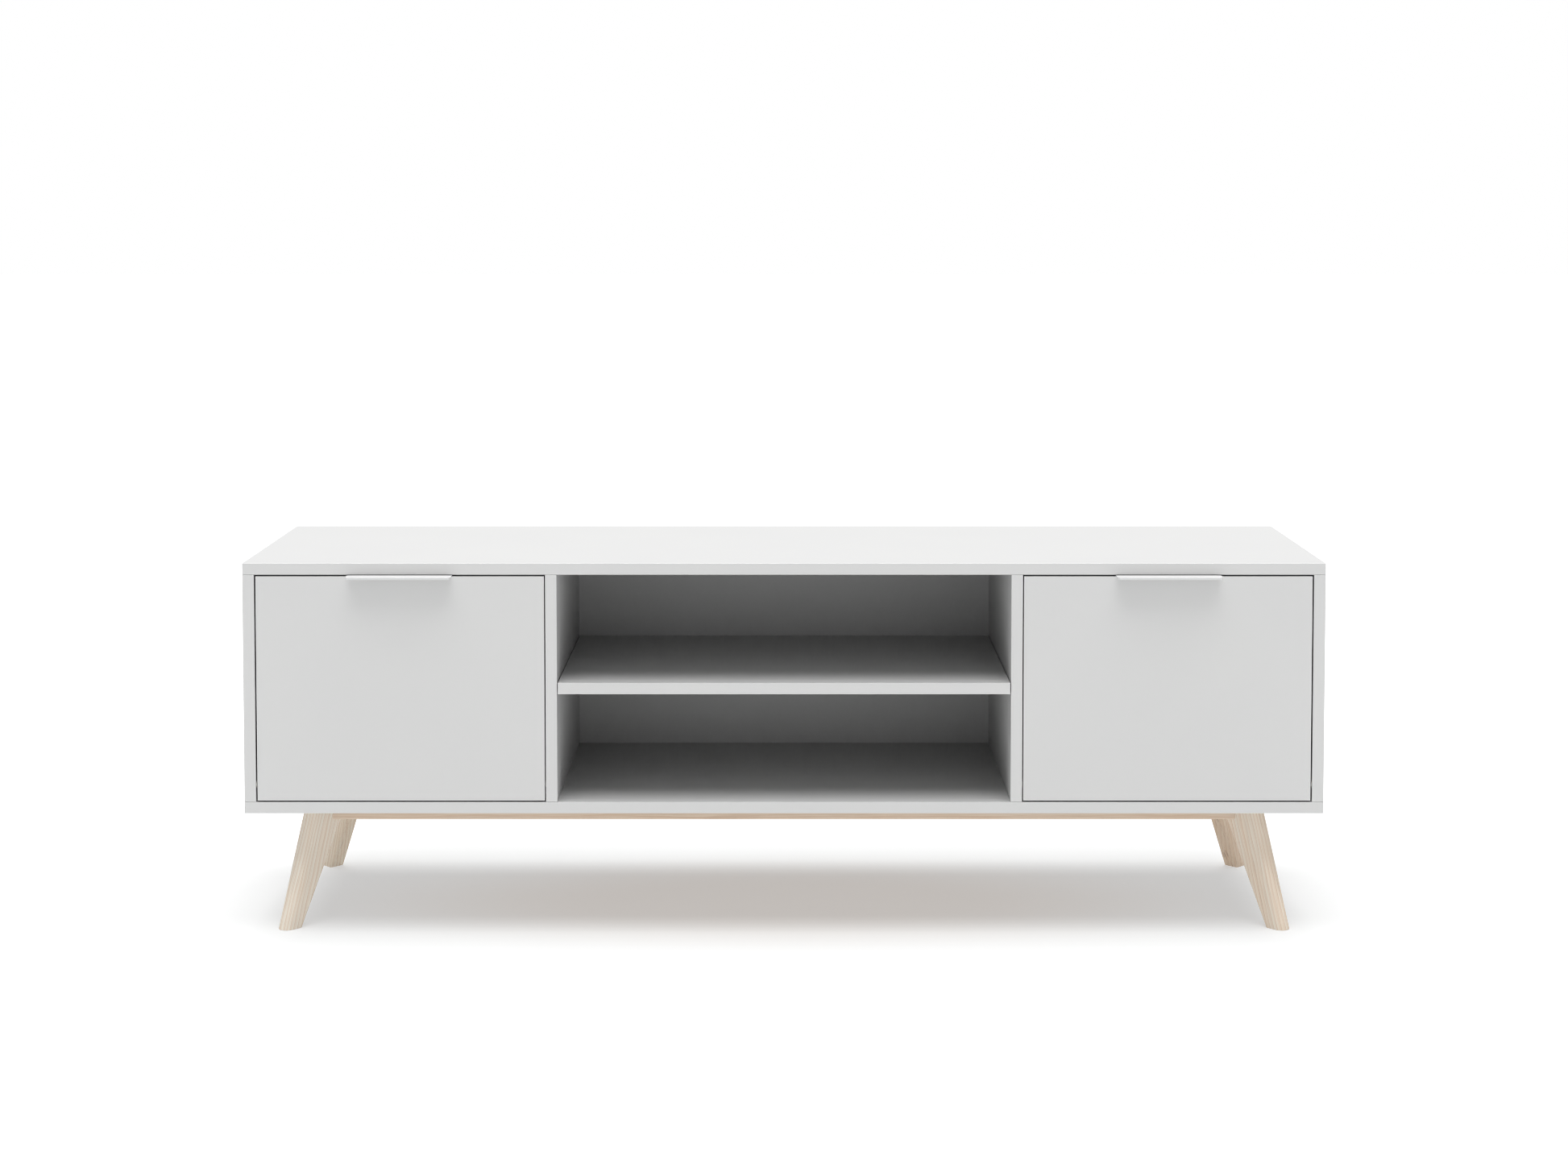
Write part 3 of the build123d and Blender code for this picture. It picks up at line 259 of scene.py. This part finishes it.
def solid_ash(name, grain, heart, streak=0.0, pale="#FFF9EC", tan="#FCE8D2"):
    """Ash whose fibres run along grain. heart is where the tree's middle lies across the grain, in mm."""
    material, shader, place = start_material(name)
    turn = Vector(grain).normalized().rotation_difference(Vector((0, 0, 1))).to_euler()
    upright = add_node(material, "ShaderNodeMapping", {
        "Vector": place, "Location": Vector((*heart, 0)) * MM, "Rotation": turn}).outputs["Vector"]
    tones = drawn_noise(material, upright, TONE_WIDTH, TONE_LENGTH, 2.0)
    pores = drawn_noise(material, upright, PORE_WIDTH, PORE_LENGTH, 3.0, 0.6)
    streaks = drawn_noise(material, upright, STREAK_WIDTH, STREAK_LENGTH, 2.5)
    colour = add_node(material, "ShaderNodeMix", {
        "Factor": tones, 6: linear(pale), 7: linear(tan)}, data_type="RGBA").outputs[2]
    # each layer: its pattern, where it begins and is full, how strongly it covers, and its colour
    for pattern, begins, full, cover, tint in (
        (growth_rings(material, upright), 0.35, 1.0, 0.42, "#E0BE9E"),
        (pores, 0.52, 0.74, 0.42, "#C9A584"),
        (streaks, 0.58, 0.72, streak, "#A98468"),
    ):
        share = add_node(material, "ShaderNodeMapRange", {
            "Value": pattern, "From Min": begins, "From Max": full, "To Max": cover})
        colour = add_node(material, "ShaderNodeMix", {
            "Factor": share.outputs["Result"], 6: colour, 7: linear(tint)}, data_type="RGBA").outputs[2]
    link(material, colour, shader, "Base Color")
    matt = add_node(material, "ShaderNodeMapRange", {"Value": pores, "To Min": 0.50, "To Max": 0.66})
    link(material, matt.outputs["Result"], shader, "Roughness")
    sunk = add_node(material, "ShaderNodeBump", {
        "Height": pores, "Strength": 0.25, "Distance": 0.12 * MM}, invert=True)
    link(material, sunk.outputs["Normal"], shader, "Normal")
    shader.inputs["IOR"].default_value = 1.47
    shader.inputs["Specular IOR Level"].default_value = 0.3
    return material


print("a pore line is", round(PORE_LENGTH / PORE_WIDTH), "times as long as it is wide")

# %% [markdown]
# ## Zinc-plated steel
# Screws, pins, rods and plates are steel with bright zinc plating, slightly blue. An even metal looks like
# foil, so the plating's crystals, which group in patches, lead its tone and polish. The die that drew the
# wire leaves fine scratches, and those are a second, finer noise in the bump.

# %% Plated steel
def plated_steel():
    """Steel with bright zinc plating."""
    material, shader, place = start_material("zinc_plated_steel")
    # plating crystals group in patches about 2 mm across
    crystal = add_node(material, "ShaderNodeTexNoise", {
        "Vector": place, "Scale": per_metre(2), "Detail": 4.0})
    tone = add_node(material, "ShaderNodeMix", {
        "Factor": crystal.outputs["Fac"], 6: linear("#D2D5D8"), 7: linear("#B9BDC2")}, data_type="RGBA")
    link(material, tone.outputs[2], shader, "Base Color")
    polish = add_node(material, "ShaderNodeMapRange", {
        "Value": crystal.outputs["Fac"], "To Min": 0.22, "To Max": 0.38})
    link(material, polish.outputs["Result"], shader, "Roughness")
    # the die leaves scratches about 0.3 mm apart
    scratch = add_node(material, "ShaderNodeTexNoise", {
        "Vector": place, "Scale": per_metre(0.3), "Detail": 2.0})
    bump = add_node(material, "ShaderNodeBump", {
        "Height": scratch.outputs["Fac"], "Strength": 0.08, "Distance": 0.02 * MM})
    link(material, bump.outputs["Normal"], shader, "Normal")
    shader.inputs["Metallic"].default_value = 1.0
    return material


steel = plated_steel()
print("made", steel.name)

# %% [markdown]
# ## Zinc die castings
# Cams and stay housings are cast in zinc and tumbled with stones, which leaves a soft grey full of small
# dimples. One noise leads tone, sheen and relief together, because on the real piece all three come from
# the same dents.

# %% Die casting
def die_casting():
    """Tumbled zinc die casting."""
    material, shader, place = start_material("tumbled_zinc_casting")
    # tumbling stones leave dimples about 0.7 mm across
    dimple = add_node(material, "ShaderNodeTexNoise", {
        "Vector": place, "Scale": per_metre(0.7), "Detail": 3.0})
    tone = add_node(material, "ShaderNodeMix", {
        "Factor": dimple.outputs["Fac"], 6: linear("#AEB1B4"), 7: linear("#95999D")}, data_type="RGBA")
    link(material, tone.outputs[2], shader, "Base Color")
    satin = add_node(material, "ShaderNodeMapRange", {
        "Value": dimple.outputs["Fac"], "To Min": 0.38, "To Max": 0.55})
    link(material, satin.outputs["Result"], shader, "Roughness")
    bump = add_node(material, "ShaderNodeBump", {
        "Height": dimple.outputs["Fac"], "Strength": 0.2, "Distance": 0.04 * MM})
    link(material, bump.outputs["Normal"], shader, "Normal")
    shader.inputs["Metallic"].default_value = 1.0
    return material


casting = die_casting()
print("made", casting.name)

# %% [markdown]
# ## White powder coat
# The pulls are folded steel under a white powder coat. Powder melts and levels out in low swells, a faint
# orange peel that makes a reflection tremble. It is glossier than the melamine beside it, so the pull
# catches the light.

# %% Powder coat
def powder_coat():
    """White powder coat on folded steel."""
    material, shader, place = start_material("white_powder_coat")
    # the melted powder levels out in swells about 1.2 mm across
    peel = add_node(material, "ShaderNodeTexNoise", {
        "Vector": place, "Scale": per_metre(1.2), "Detail": 1.5})
    tone = add_node(material, "ShaderNodeMix", {
        "Factor": peel.outputs["Fac"], 6: linear("#E8E8E8"), 7: linear("#E3E3E3")}, data_type="RGBA")
    link(material, tone.outputs[2], shader, "Base Color")
    gloss = add_node(material, "ShaderNodeMapRange", {
        "Value": peel.outputs["Fac"], "To Min": 0.30, "To Max": 0.40})
    link(material, gloss.outputs["Result"], shader, "Roughness")
    bump = add_node(material, "ShaderNodeBump", {
        "Height": peel.outputs["Fac"], "Strength": 0.15, "Distance": 0.04 * MM})
    link(material, bump.outputs["Normal"], shader, "Normal")
    shader.inputs["IOR"].default_value = 1.52
    return material


coated = powder_coat()
print("made", coated.name)

# %% [markdown]
# ## Moulded nylon
# Hinge bushes and catch bodies are milky moulded nylon. The mould was cut by sparks, which leaves a fine
# even grain on every piece, and one noise of that size gives the satin look.

# %% Nylon
def moulded_nylon():
    """Milky moulded nylon with a fine spark-eroded grain."""
    material, shader, place = start_material("moulded_nylon")
    # the sparks leave grains about 0.5 mm across
    grain = add_node(material, "ShaderNodeTexNoise", {
        "Vector": place, "Scale": per_metre(0.5), "Detail": 2.0})
    tone = add_node(material, "ShaderNodeMix", {
        "Factor": grain.outputs["Fac"], 6: linear("#EDEBE4"), 7: linear("#E3E0D8")}, data_type="RGBA")
    link(material, tone.outputs[2], shader, "Base Color")
    satin = add_node(material, "ShaderNodeMapRange", {
        "Value": grain.outputs["Fac"], "To Min": 0.42, "To Max": 0.55})
    link(material, satin.outputs["Result"], shader, "Roughness")
    bump = add_node(material, "ShaderNodeBump", {
        "Height": grain.outputs["Fac"], "Strength": 0.15, "Distance": 0.03 * MM})
    link(material, bump.outputs["Normal"], shader, "Normal")
    shader.inputs["IOR"].default_value = 1.53
    return material


nylon = moulded_nylon()
print("made", nylon.name)

# %% [markdown]
# ## Sintered ferrite
# A catch's magnet is a small block of dark ceramic, pressed, sintered and ground flat. Its grains stand
# out one by one, which a cell pattern shows better than a cloudy noise does.

# %% Ferrite
def sintered_ferrite():
    """Dark grey sintered magnet stone, ground flat."""
    material, shader, place = start_material("sintered_ferrite")
    # the grains are about 0.4 mm across
    grit = add_node(material, "ShaderNodeTexVoronoi", {"Vector": place, "Scale": per_metre(0.4)})
    tone = add_node(material, "ShaderNodeMix", {
        "Factor": grit.outputs["Distance"], 6: linear("#3A3B3E"), 7: linear("#2B2C2F")}, data_type="RGBA")
    link(material, tone.outputs[2], shader, "Base Color")
    dull = add_node(material, "ShaderNodeMapRange", {
        "Value": grit.outputs["Distance"], "To Min": 0.5, "To Max": 0.7})
    link(material, dull.outputs["Result"], shader, "Roughness")
    bump = add_node(material, "ShaderNodeBump", {
        "Height": grit.outputs["Distance"], "Strength": 0.2, "Distance": 0.05 * MM})
    link(material, bump.outputs["Normal"], shader, "Normal")
    shader.inputs["IOR"].default_value = 1.9
    return material


ferrite = sintered_ferrite()
print("made", ferrite.name)

# %% [markdown]
# ## Beech dowels
# Dowels are turned from beech and hidden in the joints. They show only when the stand is taken apart, so a
# simple mottle of beech's brown flecks is enough for them.

# %% Beech
def turned_beech():
    """Beech with short brown flecks."""
    material, shader, place = start_material("turned_beech")
    # the flecks are about 1 mm long
    fleck = add_node(material, "ShaderNodeTexNoise", {
        "Vector": place, "Scale": per_metre(1.0), "Detail": 3.0})
    tone = add_node(material, "ShaderNodeMix", {
        "Factor": fleck.outputs["Fac"], 6: linear("#D9B58F"), 7: linear("#BE9469")}, data_type="RGBA")
    link(material, tone.outputs[2], shader, "Base Color")
    matt = add_node(material, "ShaderNodeMapRange", {
        "Value": fleck.outputs["Fac"], "To Min": 0.55, "To Max": 0.7})
    link(material, matt.outputs["Result"], shader, "Roughness")
    bump = add_node(material, "ShaderNodeBump", {
        "Height": fleck.outputs["Fac"], "Strength": 0.2, "Distance": 0.05 * MM})
    link(material, bump.outputs["Normal"], shader, "Normal")
    shader.inputs["IOR"].default_value = 1.47
    return material


beech = turned_beech()
print("made", beech.name)

# %% [markdown]
# ## Dressing the solids that stay
# Boards, fittings and screws have the right shape already, bores and all, so they only need their finish.
# The record names a slot for each node, and a table from slot to material dresses them in one loop. Wooden
# rails are left out of the loop, because the grain of each has its own direction. The front rail gets a few
# brown streaks and darker tones than the others; the darker tones are painted shade from the carcass above
# it.

# %% Finish by slot
SLOT_FINISH = {
    "white_melamine": white_board,
    "white_fibreboard": white_back,
    "white_lacquered_steel": coated,
    "zinc_plated_steel": steel,
    "zinc_die_casting": casting,
    "nylon": nylon,
    "ferrite": ferrite,
    "beech_dowel": beech,
}


def dress(piece, material):
    """Gives a piece one material."""
    piece.data.materials.clear()
    piece.data.materials.append(material)


slot_of = {part["node"]: part["material_slot"] for part in frame["record"]["subparts"]}
dressed = [name for name in nodes if slot_of[name] in SLOT_FINISH]
for name in dressed:
    dress(nodes[name], SLOT_FINISH[slot_of[name]])

ALONG, ACROSS = (1, 0, 0), (0, 1, 0)
RAIL_WOOD = {  # fibre direction, where the tree's middle lies, and for the front rail its streaks and tones
    # the front rail's darker tones are painted shade from the carcass above it
    "front_rail": (ALONG, (40, 15), 0.15, "#F4E3D1", "#E9CFB6"),
    "rear_rail": (ALONG, (-35, 22)),
    "left_cross_rail": (ACROSS, (30, -28)),
    "right_cross_rail": (ACROSS, (-26, 31)),
}
for name, wood in RAIL_WOOD.items():
    dress(nodes[name], solid_ash(f"ash_{name}", *wood))
print("dressed", len(dressed) + len(RAIL_WOOD), "of", len(nodes), "nodes, all but the legs")

# %% [markdown]
# ## From a mesh in work to a finished piece
# A bmesh is a mesh on the bench. This helper takes it off the bench: it turns all faces outwards, shades
# them smooth except over sharp edges, and lets large flat faces rule the shading beside small rounded
# ones, which keeps panels flat to the eye. Then the piece rides on its body and stands for its plain
# solid.

# %% Finish a piece
SHARP_ANGLE = radians(40)
DOUBLES = 0.01 * MM


def finish_piece(bench, name, material, body, solid):
    """Makes an object from a bmesh, and lets it stand for a solid of the frame."""
    bmesh.ops.remove_doubles(bench, verts=bench.verts, dist=DOUBLES)
    bmesh.ops.recalc_face_normals(bench, faces=bench.faces)
    mesh = bpy.data.meshes.new(name)
    bench.to_mesh(mesh)
    bench.free()
    mesh.shade_smooth()
    mesh.set_sharp_from_angle(angle=SHARP_ANGLE)
    piece = bpy.data.objects.new(name, mesh)
    bpy.context.scene.collection.objects.link(piece)
    flat_rule = piece.modifiers.new("Weighted normals", "WEIGHTED_NORMAL")
    flat_rule.keep_sharp = True
    dress(piece, material)
    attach(piece, body)
    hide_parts(solid)
    print("made", name, "with", len(mesh.polygons), "faces")
    return piece


# %% [markdown]
# ## Legs
# Each leg is a blade sawn from a 24 mm plank, wider at the top, and set across the corner at 45 degrees.
# Its outer edge is routed to a half round, its inner edges are just eased. It could be bridged from
# rounded sections, but an outline of four corners, pushed to the plank's thickness and then bevelled,
# follows the way the joiner makes it, and keeps the faces truly flat.

# %% One leg
BLADE_THICK = 24.0 * MM
FOOT_WIDTH = 29.0 * MM
TOP_WIDTH = 62.0 * MM
SPLAY = 48.0 * MM
FOOT_FROM_SIDE = 43.8 * MM
FOOT_FROM_FRONT = 18.5 * MM
NOSE_RADIUS = 11.8 * MM
INNER_RADIUS = 3.0 * MM
SOLE_RADIUS = 1.0 * MM
TOUCH = 0.1 * MM  # how near two places count as the same
leg_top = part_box("bottom_panel")[0].z


def leg_blade(side, end):
    """A leg on the bench. side is -1 for left and 1 for right, end is -1 for front and 1 for rear."""
    bench = bmesh.new()
    outline = [(0, 0), (FOOT_WIDTH, 0), (SPLAY + TOP_WIDTH, leg_top), (SPLAY, leg_top)]
    corners = [bench.verts.new((along, -BLADE_THICK / 2, up)) for along, up in outline]
    face = bench.faces.new(corners)
    grown = bmesh.ops.extrude_face_region(bench, geom=[face])
    far_side = [item for item in grown["geom"] if isinstance(item, bmesh.types.BMVert)]
    bmesh.ops.translate(bench, verts=far_side, vec=(0, BLADE_THICK, 0))
    bmesh.ops.recalc_face_normals(bench, faces=bench.faces)

    def long_edges(at_outer):
        """The two long edges on one side of the blade."""
        found = []
        for edge in bench.edges:
            low, high = sorted((v.co for v in edge.verts), key=lambda co: co.z)
            rises = high.z - low.z > leg_top / 2
            outer = low.x < FOOT_WIDTH / 2
            if rises and outer == at_outer:
                found.append(edge)
        return found

    bmesh.ops.bevel(bench, geom=long_edges(True), offset=NOSE_RADIUS, segments=14, profile=0.5,
                    affect="EDGES", material=-1)
    inner = [e for e in long_edges(False) if min(v.co.x for v in e.verts) > FOOT_WIDTH - TOUCH]
    bmesh.ops.bevel(bench, geom=inner, offset=INNER_RADIUS, segments=5, profile=0.5,
                    affect="EDGES", material=-1)
    sole = [e for e in bench.edges if all(v.co.z < TOUCH for v in e.verts)]
    bmesh.ops.bevel(bench, geom=sole, offset=SOLE_RADIUS, segments=3, profile=0.5,
                    affect="EDGES", material=-1)
    set_leg(bench, side, end)
    return bench


def set_leg(bench, side, end):
    """Turns a blade across the front left corner and mirrors it to its own corner."""
    corner = Vector((top_low.x + FOOT_FROM_SIDE, front_plane + FOOT_FROM_FRONT, 0))
    turned = Matrix.Translation(corner) @ Matrix.Rotation(radians(45), 4, "Z")
    bmesh.ops.transform(bench, matrix=turned, verts=bench.verts)
    middle_y = (top_low.y + top_high.y) / 2
    if side > 0:
        bmesh.ops.scale(bench, vec=(-1, 1, 1), verts=bench.verts)
    if end > 0:
        bmesh.ops.translate(bench, vec=(0, -middle_y, 0), verts=bench.verts)
        bmesh.ops.scale(bench, vec=(1, -1, 1), verts=bench.verts)
        bmesh.ops.translate(bench, vec=(0, middle_y, 0), verts=bench.verts)


print("a leg's outer edge leans by", round(degrees(atan2(SPLAY, leg_top)), 1), "degrees")

# %% [markdown]
# ## Four legs, four planks
# The joiner cuts the legs from different planks, so no two show the same lines. Each leg gets its own ash,
# whose fibres follow the leg's outer edge, with its own place for the tree's middle. The right legs show
# more heartwood, and the rear legs get darker tones, the rear right one the darkest.

# %% All four legs
def leg_grain(side, end):
    """The direction of a leg's outer edge, from the foot up."""
    lean = SPLAY * sqrt(0.5)
    return (-side * lean, -end * lean, leg_top)


LEG_WOOD = {  # where the tree's middle lies, how strongly brown streaks show, and the two tones of the plank
    ("left", "front"): ((52, 31), 0.0, "#FFFBF0", "#FDEAD5"),
    ("right", "front"): ((-47, 38), 0.45, "#FFF9EC", "#FBE4CC"),
    ("left", "rear"): ((-61, -24), 0.2, "#FFF9E9", "#FBE2C6"),
    ("right", "rear"): ((38, -45), 0.6, "#FBEAD6", "#F1D3B5"),
}
SIDES = {"left": -1, "right": 1}
ENDS = {"front": -1, "rear": 1}
for (side_name, end_name), (heart, streak, pale, tan) in LEG_WOOD.items():
    side, end = SIDES[side_name], ENDS[end_name]
    solid = f"{side_name}_{end_name}_leg"
    wood = solid_ash(f"ash_{solid}", leg_grain(side, end), heart, streak, pale, tan)
    finish_piece(leg_blade(side, end), f"{solid}_blade", wood, "carcass", solid)

# %% [markdown]
# ## Lip pulls
# A pull is a strip of 1.5 mm steel, screwed to the door's upper edge and folded down along the front. It
# could be carved from a block, but sheet work is best made as sheet: one flat face with rounded corners,
# its front edge pushed down, the fold rounded, and thickness given last, so that the inside of the fold
# stays parallel to the outside.

# %% One pull
SHEET = 1.5 * MM
LIP_HEIGHT = 3.3 * MM
PULL_CORNER = 4.0 * MM
FOLD_RADIUS = 1.0 * MM


def lip_pull(solid):
    """A folded pull on the bench, as large as its solid."""
    low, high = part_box(solid)
    bench = bmesh.new()
    plan = [(low.x, high.y), (low.x, low.y), (high.x, low.y), (high.x, high.y)]
    plate = bench.faces.new([bench.verts.new((x, y, high.z)) for x, y in plan])
    bmesh.ops.bevel(bench, geom=list(plate.verts), offset=PULL_CORNER, segments=8, profile=0.5,
                    affect="VERTICES", material=-1)
    front_edges = [e for e in bench.edges if all(v.co.y < low.y + PULL_CORNER + TOUCH for v in e.verts)]
    folded = bmesh.ops.extrude_edge_only(bench, edges=front_edges)
    moved = [item for item in folded["geom"] if isinstance(item, bmesh.types.BMVert)]
    bmesh.ops.translate(bench, verts=moved, vec=(0, 0, -LIP_HEIGHT))
    bmesh.ops.recalc_face_normals(bench, faces=bench.faces)
    if max(bench.faces, key=lambda f: f.calc_area()).normal.z < 0:
        bmesh.ops.reverse_faces(bench, faces=bench.faces)
    fold = [e for e in front_edges if e.is_valid and len(e.link_faces) == 2]
    bmesh.ops.bevel(bench, geom=fold, offset=FOLD_RADIUS, segments=4, profile=0.5,
                    affect="EDGES", material=-1)
    bmesh.ops.solidify(bench, geom=bench.faces[:], thickness=SHEET)
    return bench


for side_name in SIDES:
    solid = f"{side_name}_handle"
    body = f"{side_name}_flap"
    finish_piece(lip_pull(solid), f"{solid}_pull", coated, body, solid)

# %% [markdown]
# ## Doors and shelf
# Doors and shelf are plain boards with thin edge banding, whose corners the trimmer eases to half a
# millimetre. A cube scaled to the board and bevelled on all edges gives that soft line of light round
# every door. A bevel modifier would do it too, but here the mesh says all there is. Bores lie under
# fittings and are left out.

# %% Plain boards
BAND_RADIUS = 0.5 * MM


def plain_board(solid):
    """A board on the bench, as large as its solid, with rounded banding."""
    low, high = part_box(solid)
    bench = bmesh.new()
    bmesh.ops.create_cube(bench, size=1)
    bmesh.ops.scale(bench, vec=high - low, verts=bench.verts)
    bmesh.ops.translate(bench, vec=(low + high) / 2, verts=bench.verts)
    bmesh.ops.bevel(bench, geom=bench.edges[:], offset=BAND_RADIUS, segments=4, profile=0.5,
                    affect="EDGES", material=-1)
    return bench


BOARDS = {"left_door": "left_flap", "right_door": "right_flap", "shelf": "carcass"}
for solid, body in BOARDS.items():
    finish_piece(plain_board(solid), f"{solid}_board", white_board, body, solid)

# %% [markdown]
# ## Floor
# The studio floor is a white paper sheet, so large that no edge shows. It glows a little by itself,
# painted light that stands in for the light a white studio sends back from every wall, which would take
# long to trace. Under the stand the glow is weaker and warmer, a painted shadow, since the walls reach
# less there and what light there is has touched wood.

# %% Floor
FLOOR_SIZE = 60.0
OPEN_PAINTED_GLOW = "#B0B0B0"  # painted light: the glow of the open sheet, standing in for light from the studio's walls
PAINTED_SHADOW_GLOW = "#A49F9B"  # painted shadow: the weaker, warmer glow under the stand, where the walls reach less
PAINTED_SHADOW_WIDTH = 0.80  # half the width of the painted shadow
PAINTED_SHADOW_DEPTH = 0.30
PAINTED_SHADOW_FORWARD = 0.1  # how far its middle lies nearer the camera, as a share of that depth
PAINTED_SHADOW_CORE = 0.3  # share of it that is painted evenly dark


def studio_floor():
    """A large pale sheet at floor level."""
    bench = bmesh.new()
    bmesh.ops.create_grid(bench, x_segments=4, y_segments=4, size=FLOOR_SIZE / 2)
    mesh = bpy.data.meshes.new("studio_floor")
    bench.to_mesh(mesh)
    bench.free()
    floor = bpy.data.objects.new("studio_floor", mesh)
    bpy.context.scene.collection.objects.link(floor)
    return floor


def floor_paper():
    """Matt white studio paper with a painted glow, weaker and warmer under the stand as a painted shadow."""
    material, shader, place = start_material("studio_paper")
    cloud = add_node(material, "ShaderNodeTexNoise", {
        "Vector": place, "Scale": per_metre(300), "Detail": 2.0})
    tone = add_node(material, "ShaderNodeMix", {
        "Factor": cloud.outputs["Fac"], 6: linear("#CACBCB"), 7: linear("#C8C9C9")}, data_type="RGBA")
    link(material, tone.outputs[2], shader, "Base Color")
    shader.inputs["Roughness"].default_value = 1.0
    shader.inputs["Specular IOR Level"].default_value = 0.0
    # painted shadow: a soft oval under the stand where the glow is weaker and warmer
    under = add_node(material, "ShaderNodeMapping", {
        "Vector": place, "Location": (0, PAINTED_SHADOW_FORWARD, 0),
        "Scale": (1 / PAINTED_SHADOW_WIDTH, 1 / PAINTED_SHADOW_DEPTH, 1)})
    reach = add_node(material, "ShaderNodeVectorMath", {0: under.outputs["Vector"]}, operation="LENGTH")
    outside_painted_shadow = add_node(material, "ShaderNodeMapRange", {
        "Value": reach.outputs["Value"], "From Min": PAINTED_SHADOW_CORE, "From Max": 1.0,
    }, interpolation_type="SMOOTHSTEP")
    glow = add_node(material, "ShaderNodeMix", {
        "Factor": outside_painted_shadow.outputs["Result"], 6: linear(PAINTED_SHADOW_GLOW), 7: linear(OPEN_PAINTED_GLOW),
    }, data_type="RGBA")
    # painted light: the sheet glows by itself
    link(material, glow.outputs[2], shader, "Emission Color")
    shader.inputs["Emission Strength"].default_value = 1.0
    return material


floor = studio_floor()
dress(floor, floor_paper())
print("floor sheet of", FLOOR_SIZE, "m")

# %% [markdown]
# ## Light
# Three lights do the work of a white studio. A wide glow straight overhead makes the top face the
# brightest and softens the shadow, a weaker one from the wall behind the camera reaches into the niche,
# and the walls all round give the rest. The camera itself sees those walls as plain white, so the world
# tells its rays from all others. Light may bounce only once, so that niche and door gaps keep their depth.

# %% Light
CEILING_POWER = 3.35  # W per square metre
CEILING_SPREAD = radians(60)
FRONT_POWER = 0.25
FRONT_SPREAD = radians(70)
FRONT_HEIGHT = radians(33)
SURROUND = 0.20  # radiance of the studio's walls as the stand sees them
BACKDROP = 1.0  # radiance of the wall behind, as the camera sees it


def distant_glow(name, power, spread, height):
    """A wide distant light on the camera's side, whose middle stands at that angle above the floor."""
    data = bpy.data.lights.new(name, "SUN")
    data.energy = power
    data.angle = spread
    light = bpy.data.objects.new(name, data)
    light.rotation_euler = (radians(90) - height, 0, 0)
    bpy.context.scene.collection.objects.link(light)


distant_glow("glowing_ceiling", CEILING_POWER, CEILING_SPREAD, radians(90))
distant_glow("front_wall", FRONT_POWER, FRONT_SPREAD, FRONT_HEIGHT)
world = bpy.data.worlds.new("white_studio")
bpy.context.scene.world = world
world.use_nodes = True
world.node_tree.nodes.clear()
rays = add_node(world, "ShaderNodeLightPath")
glow = add_node(world, "ShaderNodeMapRange", {
    "Value": rays.outputs["Is Camera Ray"], "To Min": SURROUND, "To Max": BACKDROP})
wall = add_node(world, "ShaderNodeBackground", {"Color": (1, 1, 1, 1), "Strength": glow.outputs["Result"]})
add_node(world, "ShaderNodeOutputWorld", {"Surface": wall.outputs["Background"]})
bpy.context.scene.view_settings.view_transform = "Standard"
bpy.context.scene.cycles.diffuse_bounces = 1
bpy.context.scene.cycles.filter_width = 1.0  # crisp lines at the door gaps
print("ceiling glow spreads over", round(degrees(CEILING_SPREAD)), "degrees")
